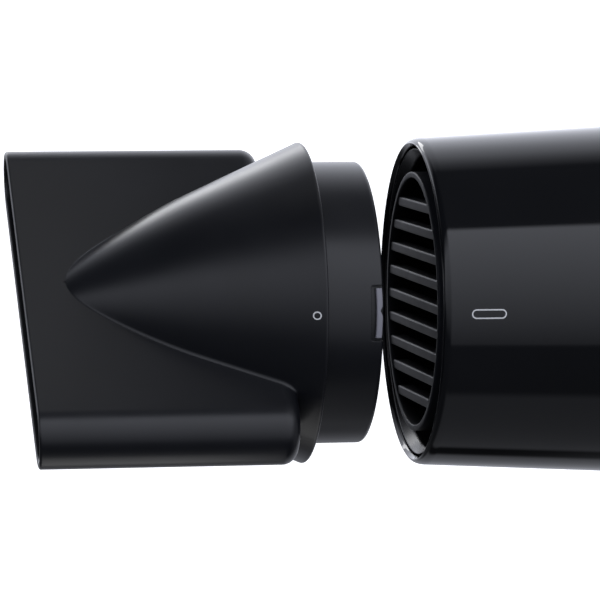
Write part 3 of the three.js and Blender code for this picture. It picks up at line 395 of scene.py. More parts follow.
def plastic(name, colour, roughness, grain=0.0, grain_size=0.35, ripple=0.0, smudge=0.05, edge=0.3, coat=0.0):
    """Moulded plastic: tone that drifts a little, handled patches, fine grain, and edges rubbed paler."""
    material = bpy.data.materials.new(name)
    material.use_nodes = True
    tree = material.node_tree
    shader = tree.nodes["Principled BSDF"]
    place = tree.nodes.new("ShaderNodeTexCoord").outputs["Object"]

    def noise(size, detail, rough=0.5):
        node = tree.nodes.new("ShaderNodeTexNoise")
        node.inputs["Scale"].default_value = 1 / (size * MM)
        node.inputs["Detail"].default_value = detail
        node.inputs["Roughness"].default_value = rough
        link(tree, place, node.inputs["Vector"])
        return node.outputs["Fac"]

    def spread(value, low, high, out_low, out_high):
        node = tree.nodes.new("ShaderNodeMapRange")
        link(tree, value, node.inputs["Value"])
        sockets = ("From Min", "From Max", "To Min", "To Max")
        for socket, limit in zip(sockets, (low, high, out_low, out_high)):
            node.inputs[socket].default_value = limit
        return node.outputs["Result"]

    drift = noise(22, 3)
    patches = noise(9, 5, 0.6)
    specks = noise(grain_size, 2)
    bevel = tree.nodes.new("ShaderNodeBevel")
    bevel.samples = 4
    bevel.inputs["Radius"].default_value = edge * MM
    face = tree.nodes.new("ShaderNodeNewGeometry")
    agree = tree.nodes.new("ShaderNodeVectorMath")
    agree.operation = "DOT_PRODUCT"
    link(tree, bevel.outputs["Normal"], agree.inputs[0])
    link(tree, face.outputs["Normal"], agree.inputs[1])
    rubbed = spread(agree.outputs["Value"], 0.995, 0.90, 0.0, 1.0)
    rubbed = math_node(tree, "MULTIPLY", rubbed, spread(patches, 0.35, 0.7, 0.15, 0.8))

    tone = tree.nodes.new("ShaderNodeMix")
    tone.data_type = "RGBA"
    link(tree, spread(drift, 0.3, 0.7, 0.0, 1.0), tone.inputs["Factor"])
    tone.inputs["A"].default_value = (*[c * 0.86 for c in colour], 1)
    tone.inputs["B"].default_value = (*[c * 1.14 for c in colour], 1)
    worn = tree.nodes.new("ShaderNodeMix")
    worn.data_type = "RGBA"
    link(tree, rubbed, worn.inputs["Factor"])
    link(tree, tone.outputs["Result"], worn.inputs["A"])
    worn.inputs["B"].default_value = (*[c * 1.25 + 0.008 for c in colour], 1)
    link(tree, worn.outputs["Result"], shader.inputs["Base Color"])

    handled = spread(patches, 0.3, 0.7, roughness - smudge / 2, roughness + smudge / 2)
    link(tree, math_node(tree, "MULTIPLY_ADD", rubbed, 0.06, handled), shader.inputs["Roughness"])
    shader.inputs["Coat Weight"].default_value = coat
    shader.inputs["Coat Roughness"].default_value = 0.03

    height = math_node(tree, "MULTIPLY", specks, grain * MM)
    height = math_node(tree, "MULTIPLY_ADD", noise(6, 1), ripple * MM, height)
    bump = tree.nodes.new("ShaderNodeBump")
    bump.inputs["Distance"].default_value = 1.0
    bump.inputs["Strength"].default_value = 1.0
    link(tree, height, bump.inputs["Height"])
    link(tree, bevel.outputs["Normal"], bump.inputs["Normal"])
    link(tree, bump.outputs["Normal"], shader.inputs["Normal"])
    return material


GLOSS_BLACK = (0.0062, 0.0068, 0.0085)
gloss_black = plastic("gloss_black", GLOSS_BLACK, 0.055, grain=0.00012, ripple=0.0016, smudge=0.03, edge=0.15)

outer_line = barrel_line()
inner_line = [(along, radius - SHELL_WALL, 0) for along, radius, _ in outer_line if along > SHOULDER_DEPTH]
tail_radius = shell_radius(barrel_length)
barrel_outline = [
    (-FRONT_PROUD, RIM_RADIUS - LIP_EDGE, 0.1),
    *outer_line,
    (barrel_length, tail_radius, 0.4),
    (barrel_length, tail_radius - SHELL_WALL, 0.2),
    *reversed(inner_line),
    (LIP_DEPTH, RIM_RADIUS - RIM_LIP, 0.3),
]
barrel_casing = turned("barrel_casing", barrel_outline)

handle_axis = Vector((0, 0, rim.z))
neck_top = -math.sqrt(shell_radius(-rim.x / MM) ** 2 - NECK_RADIUS**2) + 0.6
neck_outline = [
    (neck_end, NECK_BORE, 0.3),
    (neck_end, NECK_RADIUS + NECK_BEAD, 0.6),
    (neck_end + BEAD_HEIGHT, NECK_RADIUS + NECK_BEAD, 0.6),
    (neck_end + BEAD_HEIGHT, NECK_RADIUS, 0.4),
    (neck_top + 1, NECK_RADIUS, 0),
    (neck_top + 1, NECK_BORE, 0),
]
carve(barrel_casing, turned("neck", neck_outline, "Z", handle_axis, SMALL_ROUND), "UNION")
bore_outline = [(neck_end - 1, 0, 0), (neck_end - 1, NECK_BORE, 0), (-20, NECK_BORE, 0), (-20, 0, 0)]
carve(barrel_casing, turned("bore", bore_outline, "Z", handle_axis, SMALL_ROUND))
barrel_casing.data.materials.append(gloss_black)
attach(barrel_casing, "housing")
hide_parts("barrel_shell")

# ---------------------------------------------------------------- Front bezel
# A dished ring of duller black, pushed in behind the casing's front edge. The deep groove inside
# it takes the nozzle's collar, and its back holds the grille and the heater's shield.

FIT = 0.3
BEZEL_RADIUS = 28.4
BEZEL_LIP = 0.6
BEZEL_WALL = 0.9
GROOVE = 2.9
FUNNEL = 2.6
FLOOR_FRONT = 12.2
FLOOR_THICKNESS = 1.2
SOCKET_END = 20.2
groove_outer = BEZEL_RADIUS - BEZEL_WALL
ring_outer = groove_outer - GROOVE

bezel_outline = [
    (LIP_DEPTH + 0.1, BEZEL_RADIUS + BEZEL_LIP, 0.2),
    (FUNNEL, groove_outer, 0.6),
    (FLOOR_FRONT, groove_outer, 0.3),
    (FLOOR_FRONT, ring_outer + FIT, 0.2),
    (FLOOR_FRONT + FLOOR_THICKNESS, ring_outer + FIT, 0.2),
    (FLOOR_FRONT + FLOOR_THICKNESS, groove_outer, 0.1),
    (SOCKET_END, groove_outer, 0.2),
    (SOCKET_END, BEZEL_RADIUS, 0.2),
    (2 * BEZEL_LIP + 1, BEZEL_RADIUS, 0.1),
    (BEZEL_LIP + 1, BEZEL_RADIUS + BEZEL_LIP, 0.1),
]
bezel_ring = turned("bezel_ring", bezel_outline)
bezel_black = plastic("bezel_black", GLOSS_BLACK, 0.24, grain=0.001, smudge=0.04)
bezel_black.node_tree.nodes["Principled BSDF"].inputs["Specular IOR Level"].default_value = 0.2
bezel_ring.data.materials.append(bezel_black)
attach(bezel_ring, "housing")
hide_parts("front_bezel")

# ---------------------------------------------------------------- Outlet grille
# Nine level bars across a ring, moulded in one piece of satin black. The flange at its back is trapped
# between the bezel and the heat shield. The bars' front edges are rounded off.

RING_WALL = 1.1
FLANGE_FRONT = 13.7
FLANGE_RADIUS = 27.2
BAR_COUNT = 9
BAR_HEIGHT = 1.8
BAR_DEPTH = 3
BAR_SIDES = 4

ring_inner = ring_outer - RING_WALL
bar_pitch = 2 * ring_inner / (BAR_COUNT + 1.3)


def rounded_bar(name, low, high, rounding, steps=BAR_SIDES):
    """A block along Y whose four long edges are rounded."""
    corners = [(low.x, low.z), (high.x, low.z), (high.x, high.z), (low.x, high.z)]
    outline = rounded([(x / MM, z / MM, rounding) for x, z in corners], steps)
    count = len(outline)
    vertices = [(x * MM, y, z * MM) for y in (low.y, high.y) for x, z in outline]
    faces = [(i, (i + 1) % count, count + (i + 1) % count, count + i) for i in range(count)]
    faces += [tuple(range(count)), tuple(range(count, 2 * count))]
    return new_piece(name, vertices, faces)


def join_pieces(pieces, name):
    """One object from several, each of which stays a closed body in it."""
    work = bmesh.new()
    for piece in pieces:
        start = len(work.verts)
        work.from_mesh(piece.data)
        work.verts.ensure_lookup_table()
        bmesh.ops.transform(work, matrix=piece.matrix_world, verts=work.verts[start:])
    mesh = bpy.data.meshes.new(name)
    work.to_mesh(mesh)
    work.free()
    for piece in pieces:
        bpy.data.objects.remove(piece)
    whole = bpy.data.objects.new(name, mesh)
    bpy.context.scene.collection.objects.link(whole)
    clean(whole)
    return whole


grille_outline = [
    (0, ring_inner, 0.25),
    (0, ring_outer, 0.3),
    (FLANGE_FRONT, ring_outer, 0.2),
    (FLANGE_FRONT, FLANGE_RADIUS, 0.2),
    (FLANGE_FRONT + FLOOR_THICKNESS, FLANGE_RADIUS, 0.2),
    (FLANGE_FRONT + FLOOR_THICKNESS, ring_inner, 0.2),
]
outlet_ring = turned("outlet_grille_bars", grille_outline)
bars = []
for index in range(BAR_COUNT):
    height = (index - (BAR_COUNT - 1) / 2) * bar_pitch
    reach = math.sqrt(ring_inner**2 - (abs(height) + BAR_HEIGHT / 2) ** 2) + RING_WALL / 2
    low = rim + Vector((FIT, -reach, height - BAR_HEIGHT / 2)) * MM
    high = rim + Vector((FIT + BAR_DEPTH, reach, height + BAR_HEIGHT / 2)) * MM
    bars.append(rounded_bar(f"bar_{index}", low, high, 0.35))
carve(outlet_ring, join_pieces(bars, "bars"), "UNION")

SATIN_BLACK = (0.0070, 0.0078, 0.0105)
grille_black = plastic("grille_black", (0.011, 0.012, 0.0155), 0.42, grain=0.004, smudge=0.06)
grille_black.node_tree.nodes["Principled BSDF"].inputs["Specular IOR Level"].default_value = 0.12
outlet_ring.data.materials.append(grille_black)
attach(outlet_ring, "housing")
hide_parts("outlet_grille")

# ---------------------------------------------------------------- Alignment mark on the barrel
# A small slot-shaped outline in silver ink on the left side. It shows where the nozzle's ring mark goes.
# Pad-printed, so it follows the casing and stands a hair proud of it.

MARK_START = 4.9
MARK_END = 11.4
MARK_HEIGHT = 1.8
INK_STROKE = 0.25
INK_PROUD = 0.02
INK_ROOT = 0.03


def printed_line(name, path, surface, stroke=INK_STROKE):
    """A closed line of ink: path holds (along, around) points, and surface lifts them onto the casing."""
    count = len(path)
    vertices = []
    for i in range(count):
        here = Vector(path[i])
        heading = Vector(path[(i + 1) % count]) - Vector(path[i - 1])
        side = Vector((-heading.y, heading.x)).normalized() * stroke / 2
        left, right = here - side, here + side
        for point, lift in ((left, -INK_ROOT), (left, INK_PROUD), (right, INK_PROUD), (right, -INK_ROOT)):
            vertices.append(surface(point.x, point.y, lift))
    faces = []
    for i in range(count):
        near, far = 4 * i, 4 * ((i + 1) % count)
        faces += [(near + k, near + (k + 1) % 4, far + (k + 1) % 4, far + k) for k in range(4)]
    return new_piece(name, vertices, faces)


def on_barrel(along, around, lift):
    radius = shell_radius(along) + lift
    angle = around / radius
    return rim + Vector((along, -radius * math.cos(angle), radius * math.sin(angle))) * MM


def slot_path(start, end, height, steps=12):
    half = height / 2
    path = []
    for centre, first in ((end - half, -90), (start + half, 90)):
        for step in range(steps + 1):
            angle = math.radians(first + 180 * step / steps)
            path.append((centre + half * math.cos(angle), half * math.sin(angle)))
    return path


def ink(name, colour):
    """Silver ink: fine metal flake in a clear base, a little uneven where the pad lifted."""
    material = bpy.data.materials.new(name)
    material.use_nodes = True
    tree = material.node_tree
    shader = tree.nodes["Principled BSDF"]
    flake = tree.nodes.new("ShaderNodeTexNoise")
    flake.inputs["Scale"].default_value = 1 / (0.12 * MM)
    ramp = tree.nodes.new("ShaderNodeValToRGB")
    ramp.color_ramp.elements[0].color = (*[c * 0.82 for c in colour], 1)
    ramp.color_ramp.elements[1].color = (*colour, 1)
    link(tree, tree.nodes.new("ShaderNodeTexCoord").outputs["Object"], flake.inputs["Vector"])
    link(tree, flake.outputs["Fac"], ramp.inputs["Fac"])
    link(tree, ramp.outputs["Color"], shader.inputs["Base Color"])
    link(tree, math_node(tree, "MULTIPLY_ADD", flake.outputs["Fac"], 0.2, 0.35), shader.inputs["Roughness"])
    bump = tree.nodes.new("ShaderNodeBump")
    bump.inputs["Distance"].default_value = 0.004 * MM
    link(tree, flake.outputs["Fac"], bump.inputs["Height"])
    link(tree, bump.outputs["Normal"], shader.inputs["Normal"])
    return material


silver_ink = ink("silver_ink", (0.95, 0.96, 0.97))
slot_mark_line = slot_path(MARK_START + INK_STROKE / 2, MARK_END - INK_STROKE / 2, MARK_HEIGHT - INK_STROKE)
slot_mark = printed_line("slot_mark", slot_mark_line, on_barrel)
slot_mark.data.materials.append(silver_ink)
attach(slot_mark, "housing")

# ---------------------------------------------------------------- Nozzle shell
# A concentrator in one moulding of satin black: a flat blade with round edges, turned 48 degrees, that
# grows out of a cone. A small fillet runs along the crease, and the blade's rear end is rounded off.

NOZZLE_WALL = 1.5
SKIRT_RADIUS = 30.5
CONE_SLOPE = 0.453
CONE_LENGTH = 21.9
NOSE_LENGTH = 27
NOSE_BLUNTNESS = 0.31
BLADE_WIDTH = 77
BLADE_THICKNESS = 13.1
BLADE_REAR = -4.9
MOUTH = -53.5
CREASE_FILLET = 1.0
REAR_ROUNDING = (3.0, 3.0, 2.0)  # along, across the width and across the thickness
FAR_LIP_SETBACK = 0.8
LIP_ROUNDING = 0.45
SKIRT_ROUNDING = 0.7
SKIRT_BULGE = 0.19
SKIRT_TURN_IN = 0.35
INNER_STOP = 0.6
MOUTH_SPREAD = 14
LIP_SPREAD = 0.4
COLUMNS = {"end": 12, "flat": 8, "fillet": 6, "cone": 18}

collar_low, collar_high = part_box("nozzle_collar")
COLLAR_REACH = 10.9
skirt = Vector((collar_high.x - COLLAR_REACH * MM, 0, rim.z))
BLADE_TURN = math.radians(48)
blade_up = Vector((0, math.sin(BLADE_TURN), math.cos(BLADE_TURN)))
blade_out = Vector((0, -math.cos(BLADE_TURN), math.sin(BLADE_TURN)))


def cone_radius(along):
    """Outside radius of the cone, measured from the skirt's rim. The nose runs smoothly into the flank."""
    flank = SKIRT_RADIUS + CONE_SLOPE * along
    share = min(1, max(0, (along + CONE_LENGTH + NOSE_LENGTH) / NOSE_LENGTH))
    return flank * (1 - (1 - share) ** 2) ** NOSE_BLUNTNESS


def where_cone_has(radius):
    """The place on the nose where the cone reaches a radius."""
    low, high = -CONE_LENGTH - NOSE_LENGTH, -CONE_LENGTH
    for _ in range(40):
        middle = (low + high) / 2
        low, high = (middle, high) if cone_radius(middle) < radius else (low, middle)
    return high


def quarter(half_width, half_thick, radius, fillet, spread):
    """A quarter of the section: round end, flat, fillet, and the cone's arc up to the middle."""
    points = []
    straight = half_width - half_thick
    for i in range(COLUMNS["end"] + 1):
        angle = math.pi / 2 * i / COLUMNS["end"]
        points.append((straight + half_thick * math.cos(angle), half_thick * math.sin(angle)))
    cone_shows = radius > half_thick + 0.001
    reach = math.sqrt((radius + fillet) ** 2 - (half_thick + fillet) ** 2) if cone_shows else spread
    for i in range(1, COLUMNS["flat"] + 1):
        points.append((straight + (reach - straight) * i / COLUMNS["flat"], half_thick))
    if not cone_shows:
        rest = COLUMNS["fillet"] + COLUMNS["cone"]
        return points + [(reach * (1 - i / rest), half_thick) for i in range(1, rest + 1)]
    meet = math.atan2(half_thick + fillet, reach)
    for i in range(1, COLUMNS["fillet"] + 1):
        angle = -math.pi / 2 + (meet - math.pi / 2) * i / COLUMNS["fillet"]
        points.append((reach + fillet * math.cos(angle), half_thick + fillet + fillet * math.sin(angle)))
    for i in range(1, COLUMNS["cone"] + 1):
        angle = meet + (math.pi / 2 - meet) * i / COLUMNS["cone"]
        points.append((radius * math.cos(angle), radius * math.sin(angle)))
    return points


def circle_quarter(radius, like):
    """The same columns on a plain circle: those of the blade gather below where the cone's arc began."""
    total = sum(COLUMNS.values())
    arc_start = total - COLUMNS["cone"]
    meet = math.atan2(like[arc_start][1], like[arc_start][0])
    angles = [meet * i / arc_start for i in range(arc_start)]
    angles += [meet + (math.pi / 2 - meet) * i / COLUMNS["cone"] for i in range(COLUMNS["cone"] + 1)]
    return [(radius * math.cos(a), radius * math.sin(a)) for a in angles]


def all_round(points):
    left = [(-w, h) for w, h in reversed(points)][1:]
    below = [(-w, -h) for w, h in points][1:]
    right = [(w, -h) for w, h in reversed(points)][1:-1]
    return points + left + below + right


def shell_rows(inset):
    """Rows of the outer or inner surface, from the mouth to the skirt: (along, section) each."""
    half_width = BLADE_WIDTH / 2 - inset
    half_thick = BLADE_THICKNESS / 2 - inset
    shrink = inset * math.hypot(1, CONE_SLOPE)
    fillet = CREASE_FILLET + inset / 2
    rear = BLADE_REAR - inset

    def row(along, width_cut=0.0, thick_cut=0.0, spread=0.0):
        radius = cone_radius(along) - shrink
        section = quarter(half_width - width_cut, half_thick - thick_cut, radius, fillet, spread)
        return along, section

    rows = []
    apex = where_cone_has(half_thick + shrink + 0.004)
    AHEAD = 8
    for i in range(AHEAD):
        share = i / AHEAD
        spread = MOUTH_SPREAD * (1 - share) ** 2 + LIP_SPREAD
        rows.append(row(MOUTH + (apex - 0.02 - MOUTH) * share**0.8, spread=spread))
    NOSE_ROWS = 26
    for i in range(NOSE_ROWS + 1):
        rows.append(row(apex + (-CONE_LENGTH - apex) * (i / NOSE_ROWS) ** 2))
    FLANK_ROWS = 10
    flank_stop = rear - REAR_ROUNDING[0]
    for i in range(1, FLANK_ROWS + 1):
        rows.append(row(-CONE_LENGTH + (flank_stop + CONE_LENGTH) * i / FLANK_ROWS))
    CORNER_ROWS = 8
    along_round, width_round, thick_round = REAR_ROUNDING
    for i in range(1, CORNER_ROWS + 1):
        angle = math.pi / 2 * i / CORNER_ROWS
        along = flank_stop + along_round * math.sin(angle)
        cut = 1 - math.cos(angle)
        rows.append(row(along, width_round * cut, thick_round * cut))
    last = rows[-1][1]
    rim_stop = -SKIRT_ROUNDING if inset == 0 else -INNER_STOP
    SKIRT_ROWS = 4
    for i in range(SKIRT_ROWS + 1):
        along = rear + 0.01 + (rim_stop - rear) * i / SKIRT_ROWS
        rows.append((along, circle_quarter(cone_radius(along) - shrink, last)))
    return rows


def nozzle_point(along, width, height):
    """Places a point of the nozzle. Towards the mouth, the far lip is set back a little."""
    share = max(0, (BLADE_REAR - along) / (BLADE_REAR - MOUTH))
    setback = FAR_LIP_SETBACK * share**2 * (0.5 - height / BLADE_THICKNESS)
    setback = min(max(setback, 0), FAR_LIP_SETBACK)
    place = Vector((along + setback, 0, 0)) + blade_up * width + blade_out * height
    return skirt + place * MM


outer = shell_rows(0)
inner = shell_rows(NOZZLE_WALL)
lip = []
half_wall = NOZZLE_WALL / 2
for i in range(1, 8):
    angle = math.pi * i / 8
    inset = half_wall - half_wall * math.cos(angle)
    bulge = LIP_ROUNDING * math.sin(angle)
    spread = MOUTH_SPREAD + LIP_SPREAD
    section = quarter(BLADE_WIDTH / 2 - inset, BLADE_THICKNESS / 2 - inset, 0, 1, spread)
    lip.append((MOUTH + LIP_ROUNDING - bulge, section))
outer[0] = (MOUTH + LIP_ROUNDING, outer[0][1])
inner[0] = (MOUTH + LIP_ROUNDING, inner[0][1])
skirt_edge = []
edge_outer = cone_radius(-SKIRT_ROUNDING)
edge_inner = cone_radius(-INNER_STOP) - NOZZLE_WALL * math.hypot(1, CONE_SLOPE)
last = outer[-1][1]
for i in range(1, 9):
    angle = math.pi / 2 * i / 8
    bulge = SKIRT_BULGE * math.sin(min(angle * 2, math.pi))
    radius = edge_outer + bulge - SKIRT_TURN_IN * (1 - math.cos(angle))
    along = -SKIRT_ROUNDING + SKIRT_ROUNDING * math.sin(angle)
    skirt_edge.append((along, circle_quarter(radius, last)))
skirt_edge.append((0, circle_quarter(edge_inner + 0.25, last)))
skirt_edge.append((-0.15, circle_quarter(edge_inner + 0.03, last)))

rows = outer + skirt_edge + inner[::-1] + lip[::-1]
loops = [[nozzle_point(along, w, h) for w, h in all_round(section)] for along, section in rows]
columns = len(loops[0])
nozzle_faces = []
for i in range(len(loops)):
    near, far = i * columns, (i + 1) % len(loops) * columns
    for k in range(columns):
        m = (k + 1) % columns
        nozzle_faces.append((near + k, near + m, far + m, far + k))
nozzle_body = new_piece("nozzle_body", [point for loop in loops for point in loop], nozzle_faces, sharp=50)

nozzle_black = plastic("nozzle_black", SATIN_BLACK, 0.31, grain=0.0025, grain_size=0.3, smudge=0.04)
nozzle_body.data.materials.append(nozzle_black)
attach(nozzle_body, "nozzle_shell")
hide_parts("nozzle_shell")

# ---------------------------------------------------------------- Ring mark on the nozzle
# The mate of the barrel's mark: a small ring in the same silver ink, printed near the skirt's rim on
# the left side. The two marks line up when the nozzle is turned to its usual place.

RING_MARK_PLACE = -2.1
RING_MARK_RADIUS = 0.78


def on_nozzle(along, around, lift):
    radius = cone_radius(along) + lift
    angle = around / radius
    return skirt + Vector((along, -radius * math.cos(angle), radius * math.sin(angle))) * MM


ring_line = []
RING_STEPS = 36
for i in range(RING_STEPS):
    angle = 2 * math.pi * i / RING_STEPS
    reach = RING_MARK_RADIUS - INK_STROKE / 2
    ring_line.append((RING_MARK_PLACE + reach * math.cos(angle), reach * math.sin(angle)))
ring_mark = printed_line("ring_mark", ring_line, on_nozzle)
ring_mark.data.materials.append(silver_ink)
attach(ring_mark, "nozzle_shell")

# ---------------------------------------------------------------- Nozzle collar and its snap tab
# The collar plugs into the groove of the barrel and turns in the nozzle. It is satin black with softened
# edges. A notch in its rear edge holds a pale spring tab, bowed so that it grips the groove's wall.

COLLAR_OUTER = 26.6
COLLAR_WALL = 1.5
COLLAR_INSIDE = 3.6
COLLAR_BEAD = 0.5
BEAD_LENGTH = 1
NOTCH_HALF = 5.15
NOTCH_DEPTH = 2.3
NOTCH_BACKING = 0.3
collar_inner = COLLAR_OUTER - COLLAR_WALL

collar_outline = [
    (-COLLAR_INSIDE, collar_inner, 0.2),
    (-COLLAR_INSIDE, COLLAR_OUTER + COLLAR_BEAD, 0.2),
    (-COLLAR_INSIDE + BEAD_LENGTH, COLLAR_OUTER + COLLAR_BEAD, 0.2),
    (-COLLAR_INSIDE + BEAD_LENGTH, COLLAR_OUTER, 0.15),
    (COLLAR_REACH, COLLAR_OUTER, 0.7),
    (COLLAR_REACH, collar_inner, 0.4),
]
collar_ring = turned("collar_ring", collar_outline, centre=skirt)
notch_low = skirt + Vector((COLLAR_REACH - NOTCH_DEPTH, -40, -NOTCH_HALF)) * MM
notch_high = skirt + Vector((COLLAR_REACH + 2, -10, NOTCH_HALF)) * MM
notch = rounded_bar("notch", notch_low, notch_high, 0.5)
backing_radius = collar_inner + NOTCH_BACKING
backing_line = [(-5, 0, 0), (-5, backing_radius, 0), (20, backing_radius, 0), (20, 0, 0)]
carve(notch, turned("backing", backing_line, centre=skirt))
carve(collar_ring, notch)
collar_ring.data.materials.append(nozzle_black)
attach(collar_ring, "nozzle_collar")
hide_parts("nozzle_collar")


def stack_faces(loops, count):
    """Faces that join loops of count points one after another, with both ends closed."""
    faces = []
    for i in range(loops - 1):
        near, far = i * count, (i + 1) * count
        faces += [(near + k, near + (k + 1) % count, far + (k + 1) % count, far + k) for k in range(count)]
    return faces + [tuple(range(count)), tuple(range((loops - 1) * count, loops * count))]


TAB_HALF = 4.6
TAB_FROM = COLLAR_REACH - NOTCH_DEPTH + 0.9
TAB_THICKNESS = 1.15
TAB_BOW = 0.25
PINCH = 0.4
PINCH_PLACE = 0.4
PINCH_WIDTH = 0.5
tab_vertices = []
TAB_STEPS = 24
TAB_ROOT = collar_inner + NOTCH_BACKING + 0.05
TAB_TOP = 26.4
section = [
    (0.0, TAB_ROOT, 0.1),
    (0.0, TAB_TOP, 0.25),
    (TAB_THICKNESS, TAB_TOP, 0.25),
    (TAB_THICKNESS, TAB_ROOT, 0.1),
]
tab_section = rounded(section, 3)
for i in range(TAB_STEPS + 1):
    across = TAB_HALF * (2 * i / TAB_STEPS - 1)
    pinch = PINCH * math.exp(-((across - PINCH_PLACE) / PINCH_WIDTH) ** 2)
    bow = TAB_BOW * (1 - (across / TAB_HALF) ** 2)
    for along, radius in tab_section:
        squeezed = TAB_FROM + bow * 0.5 + along * (1 - pinch)
        angle = across / radius
        place = Vector((squeezed, -radius * math.cos(angle), radius * math.sin(angle)))
        tab_vertices.append(skirt + place * MM)
snap_tab = new_piece("snap_tab", tab_vertices, stack_faces(TAB_STEPS + 1, len(tab_section)))
tab_grey = plastic("tab_grey", (0.27, 0.27, 0.31), 0.40, grain=0.002, smudge=0.06, edge=0.12)
snap_tab.data.materials.append(tab_grey)
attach(snap_tab, "nozzle_collar")
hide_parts("collar_snap_tab")

# The panels above and below the blade light the nozzle's own pieces and leave the barrel alone.
nozzle_pieces = bpy.data.collections.new("lit_by_panels")
for piece in (nozzle_body, collar_ring):
    nozzle_pieces.objects.link(piece)
for panel in panels:
    panel.light_linking.receiver_collection = nozzle_pieces

# ---------------------------------------------------------------- Heater
# Two coils of bright resistance wire wound on a cross of mica boards, inside a mica tube. A thermostat and
# a thermal fuse sit on the boards. The hot parts are browned by use.

COIL_WIRE = 0.8
COIL_TURNS = 5
COIL_STEPS = 40
WIRE_SIDES = 10


def wound_wire(name, radius, wire, start, pitch, turns, axis_point):
    """A round wire wound about a line along X, with closed ends."""
    vertices = []
    steps = turns * COIL_STEPS
    for i in range(steps + 1):
        angle = 2 * math.pi * turns * i / steps
        radial = Vector((0, math.cos(angle), math.sin(angle)))
        round_trip = 2 * math.pi * radius
        heading = Vector((pitch, -round_trip * math.sin(angle), round_trip * math.cos(angle)))
        side = heading.normalized().cross(radial)
        middle = Vector((start + pitch * turns * i / steps, 0, 0)) + radial * radius
        for k in range(WIRE_SIDES):
            turn = 2 * math.pi * k / WIRE_SIDES
            point = middle + radial * wire * math.cos(turn) + side * wire * math.sin(turn)
            vertices.append(axis_point + point * MM)
    return new_piece(name, vertices, stack_faces(steps + 1, WIRE_SIDES))


def mottled(name, dark, light, roughness, size, metallic=0.0, depth=0.0, stretch=(1, 1, 1)):
    """A material whose tone, shine and surface all vary: bare metals, mica, board and old plastic."""
    material = bpy.data.materials.new(name)
    material.use_nodes = True
    tree = material.node_tree
    shader = tree.nodes["Principled BSDF"]
    shader.inputs["Metallic"].default_value = metallic
    mapping = tree.nodes.new("ShaderNodeMapping")
    mapping.inputs["Scale"].default_value = stretch
    link(tree, tree.nodes.new("ShaderNodeTexCoord").outputs["Object"], mapping.inputs["Vector"])
    cloud = tree.nodes.new("ShaderNodeTexNoise")
    cloud.inputs["Scale"].default_value = 1 / (size * MM)
    cloud.inputs["Detail"].default_value = 6
    link(tree, mapping.outputs["Vector"], cloud.inputs["Vector"])
    ramp = tree.nodes.new("ShaderNodeValToRGB")
    ramp.color_ramp.elements[0].position = 0.3
    ramp.color_ramp.elements[0].color = (*dark, 1)
    ramp.color_ramp.elements[1].position = 0.7
    ramp.color_ramp.elements[1].color = (*light, 1)
    link(tree, cloud.outputs["Fac"], ramp.inputs["Fac"])
    link(tree, ramp.outputs["Color"], shader.inputs["Base Color"])
    shine = math_node(tree, "MULTIPLY_ADD", cloud.outputs["Fac"], 0.25, roughness - 0.12)
    link(tree, shine, shader.inputs["Roughness"])
    bump = tree.nodes.new("ShaderNodeBump")
    bump.inputs["Distance"].default_value = depth * MM
    link(tree, cloud.outputs["Fac"], bump.inputs["Height"])
    edge = tree.nodes.new("ShaderNodeBevel")
    edge.samples = 4
    edge.inputs["Radius"].default_value = 0.15 * MM
    link(tree, edge.outputs["Normal"], bump.inputs["Normal"])
    link(tree, bump.outputs["Normal"], shader.inputs["Normal"])
    return material


def paint_nodes(material, *names):
    """Gives CAD nodes that stay as they are a finish, and softens their facets' shading."""
    for name in names:
        node = frame["nodes"][name]
        node.data.materials.clear()
        node.data.materials.append(material)
        weld = node.modifiers.new("weld", "WELD")
        weld.merge_threshold = 0.01 * MM
        smooth = node.modifiers.new("smooth", "EDGE_SPLIT")
        smooth.split_angle = math.radians(30)
        node.data.shade_smooth()


heater_wire = mottled("heater_wire", (0.30, 0.27, 0.24), (0.60, 0.57, 0.52), 0.38, 1.2, 1, 0.02)
for place in ("front", "rear"):
    low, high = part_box(f"heater_coil_{place}")
    coil_radius = (high.z - low.z) / 2 / MM - COIL_WIRE
    start = (low.x - rim.x) / MM + COIL_WIRE
    pitch = ((high.x - low.x) / MM - 2 * COIL_WIRE) / COIL_TURNS
    coil = wound_wire(f"coil_{place}", coil_radius, COIL_WIRE * 0.7, start, pitch, COIL_TURNS, rim)
    coil.data.materials.append(heater_wire)
    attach(coil, "housing")
    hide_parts(f"heater_coil_{place}")

mica = mottled("mica", (0.34, 0.27, 0.17), (0.52, 0.45, 0.33), 0.5, 3.0, depth=0.05, stretch=(0.4, 1, 1))
paint_nodes(mica, "heat_shield_tube", "mica_board_level", "mica_board_upright")
ceramic_white = plastic("ceramic_white", (0.62, 0.60, 0.54), 0.42, grain=0.004)
paint_nodes(ceramic_white, "thermostat", "motor_end_cap")
ALONG_GRAIN = (0.2, 1, 1)
STEEL_DARK, STEEL_LIGHT = (0.42, 0.42, 0.43), (0.62, 0.63, 0.64)
bright_steel = mottled("bright_steel", STEEL_DARK, STEEL_LIGHT, 0.32, 2.0, 1, 0.01, ALONG_GRAIN)
paint_nodes(bright_steel, "thermal_fuse", "motor_shaft", "armature")

# ---------------------------------------------------------------- Motor
# A small brushed motor in a drawn steel can, with a ferrite magnet on each side, bronze bushes and carbon
# brushes. A round board on its end cap carries the rectifier and a film capacitor.

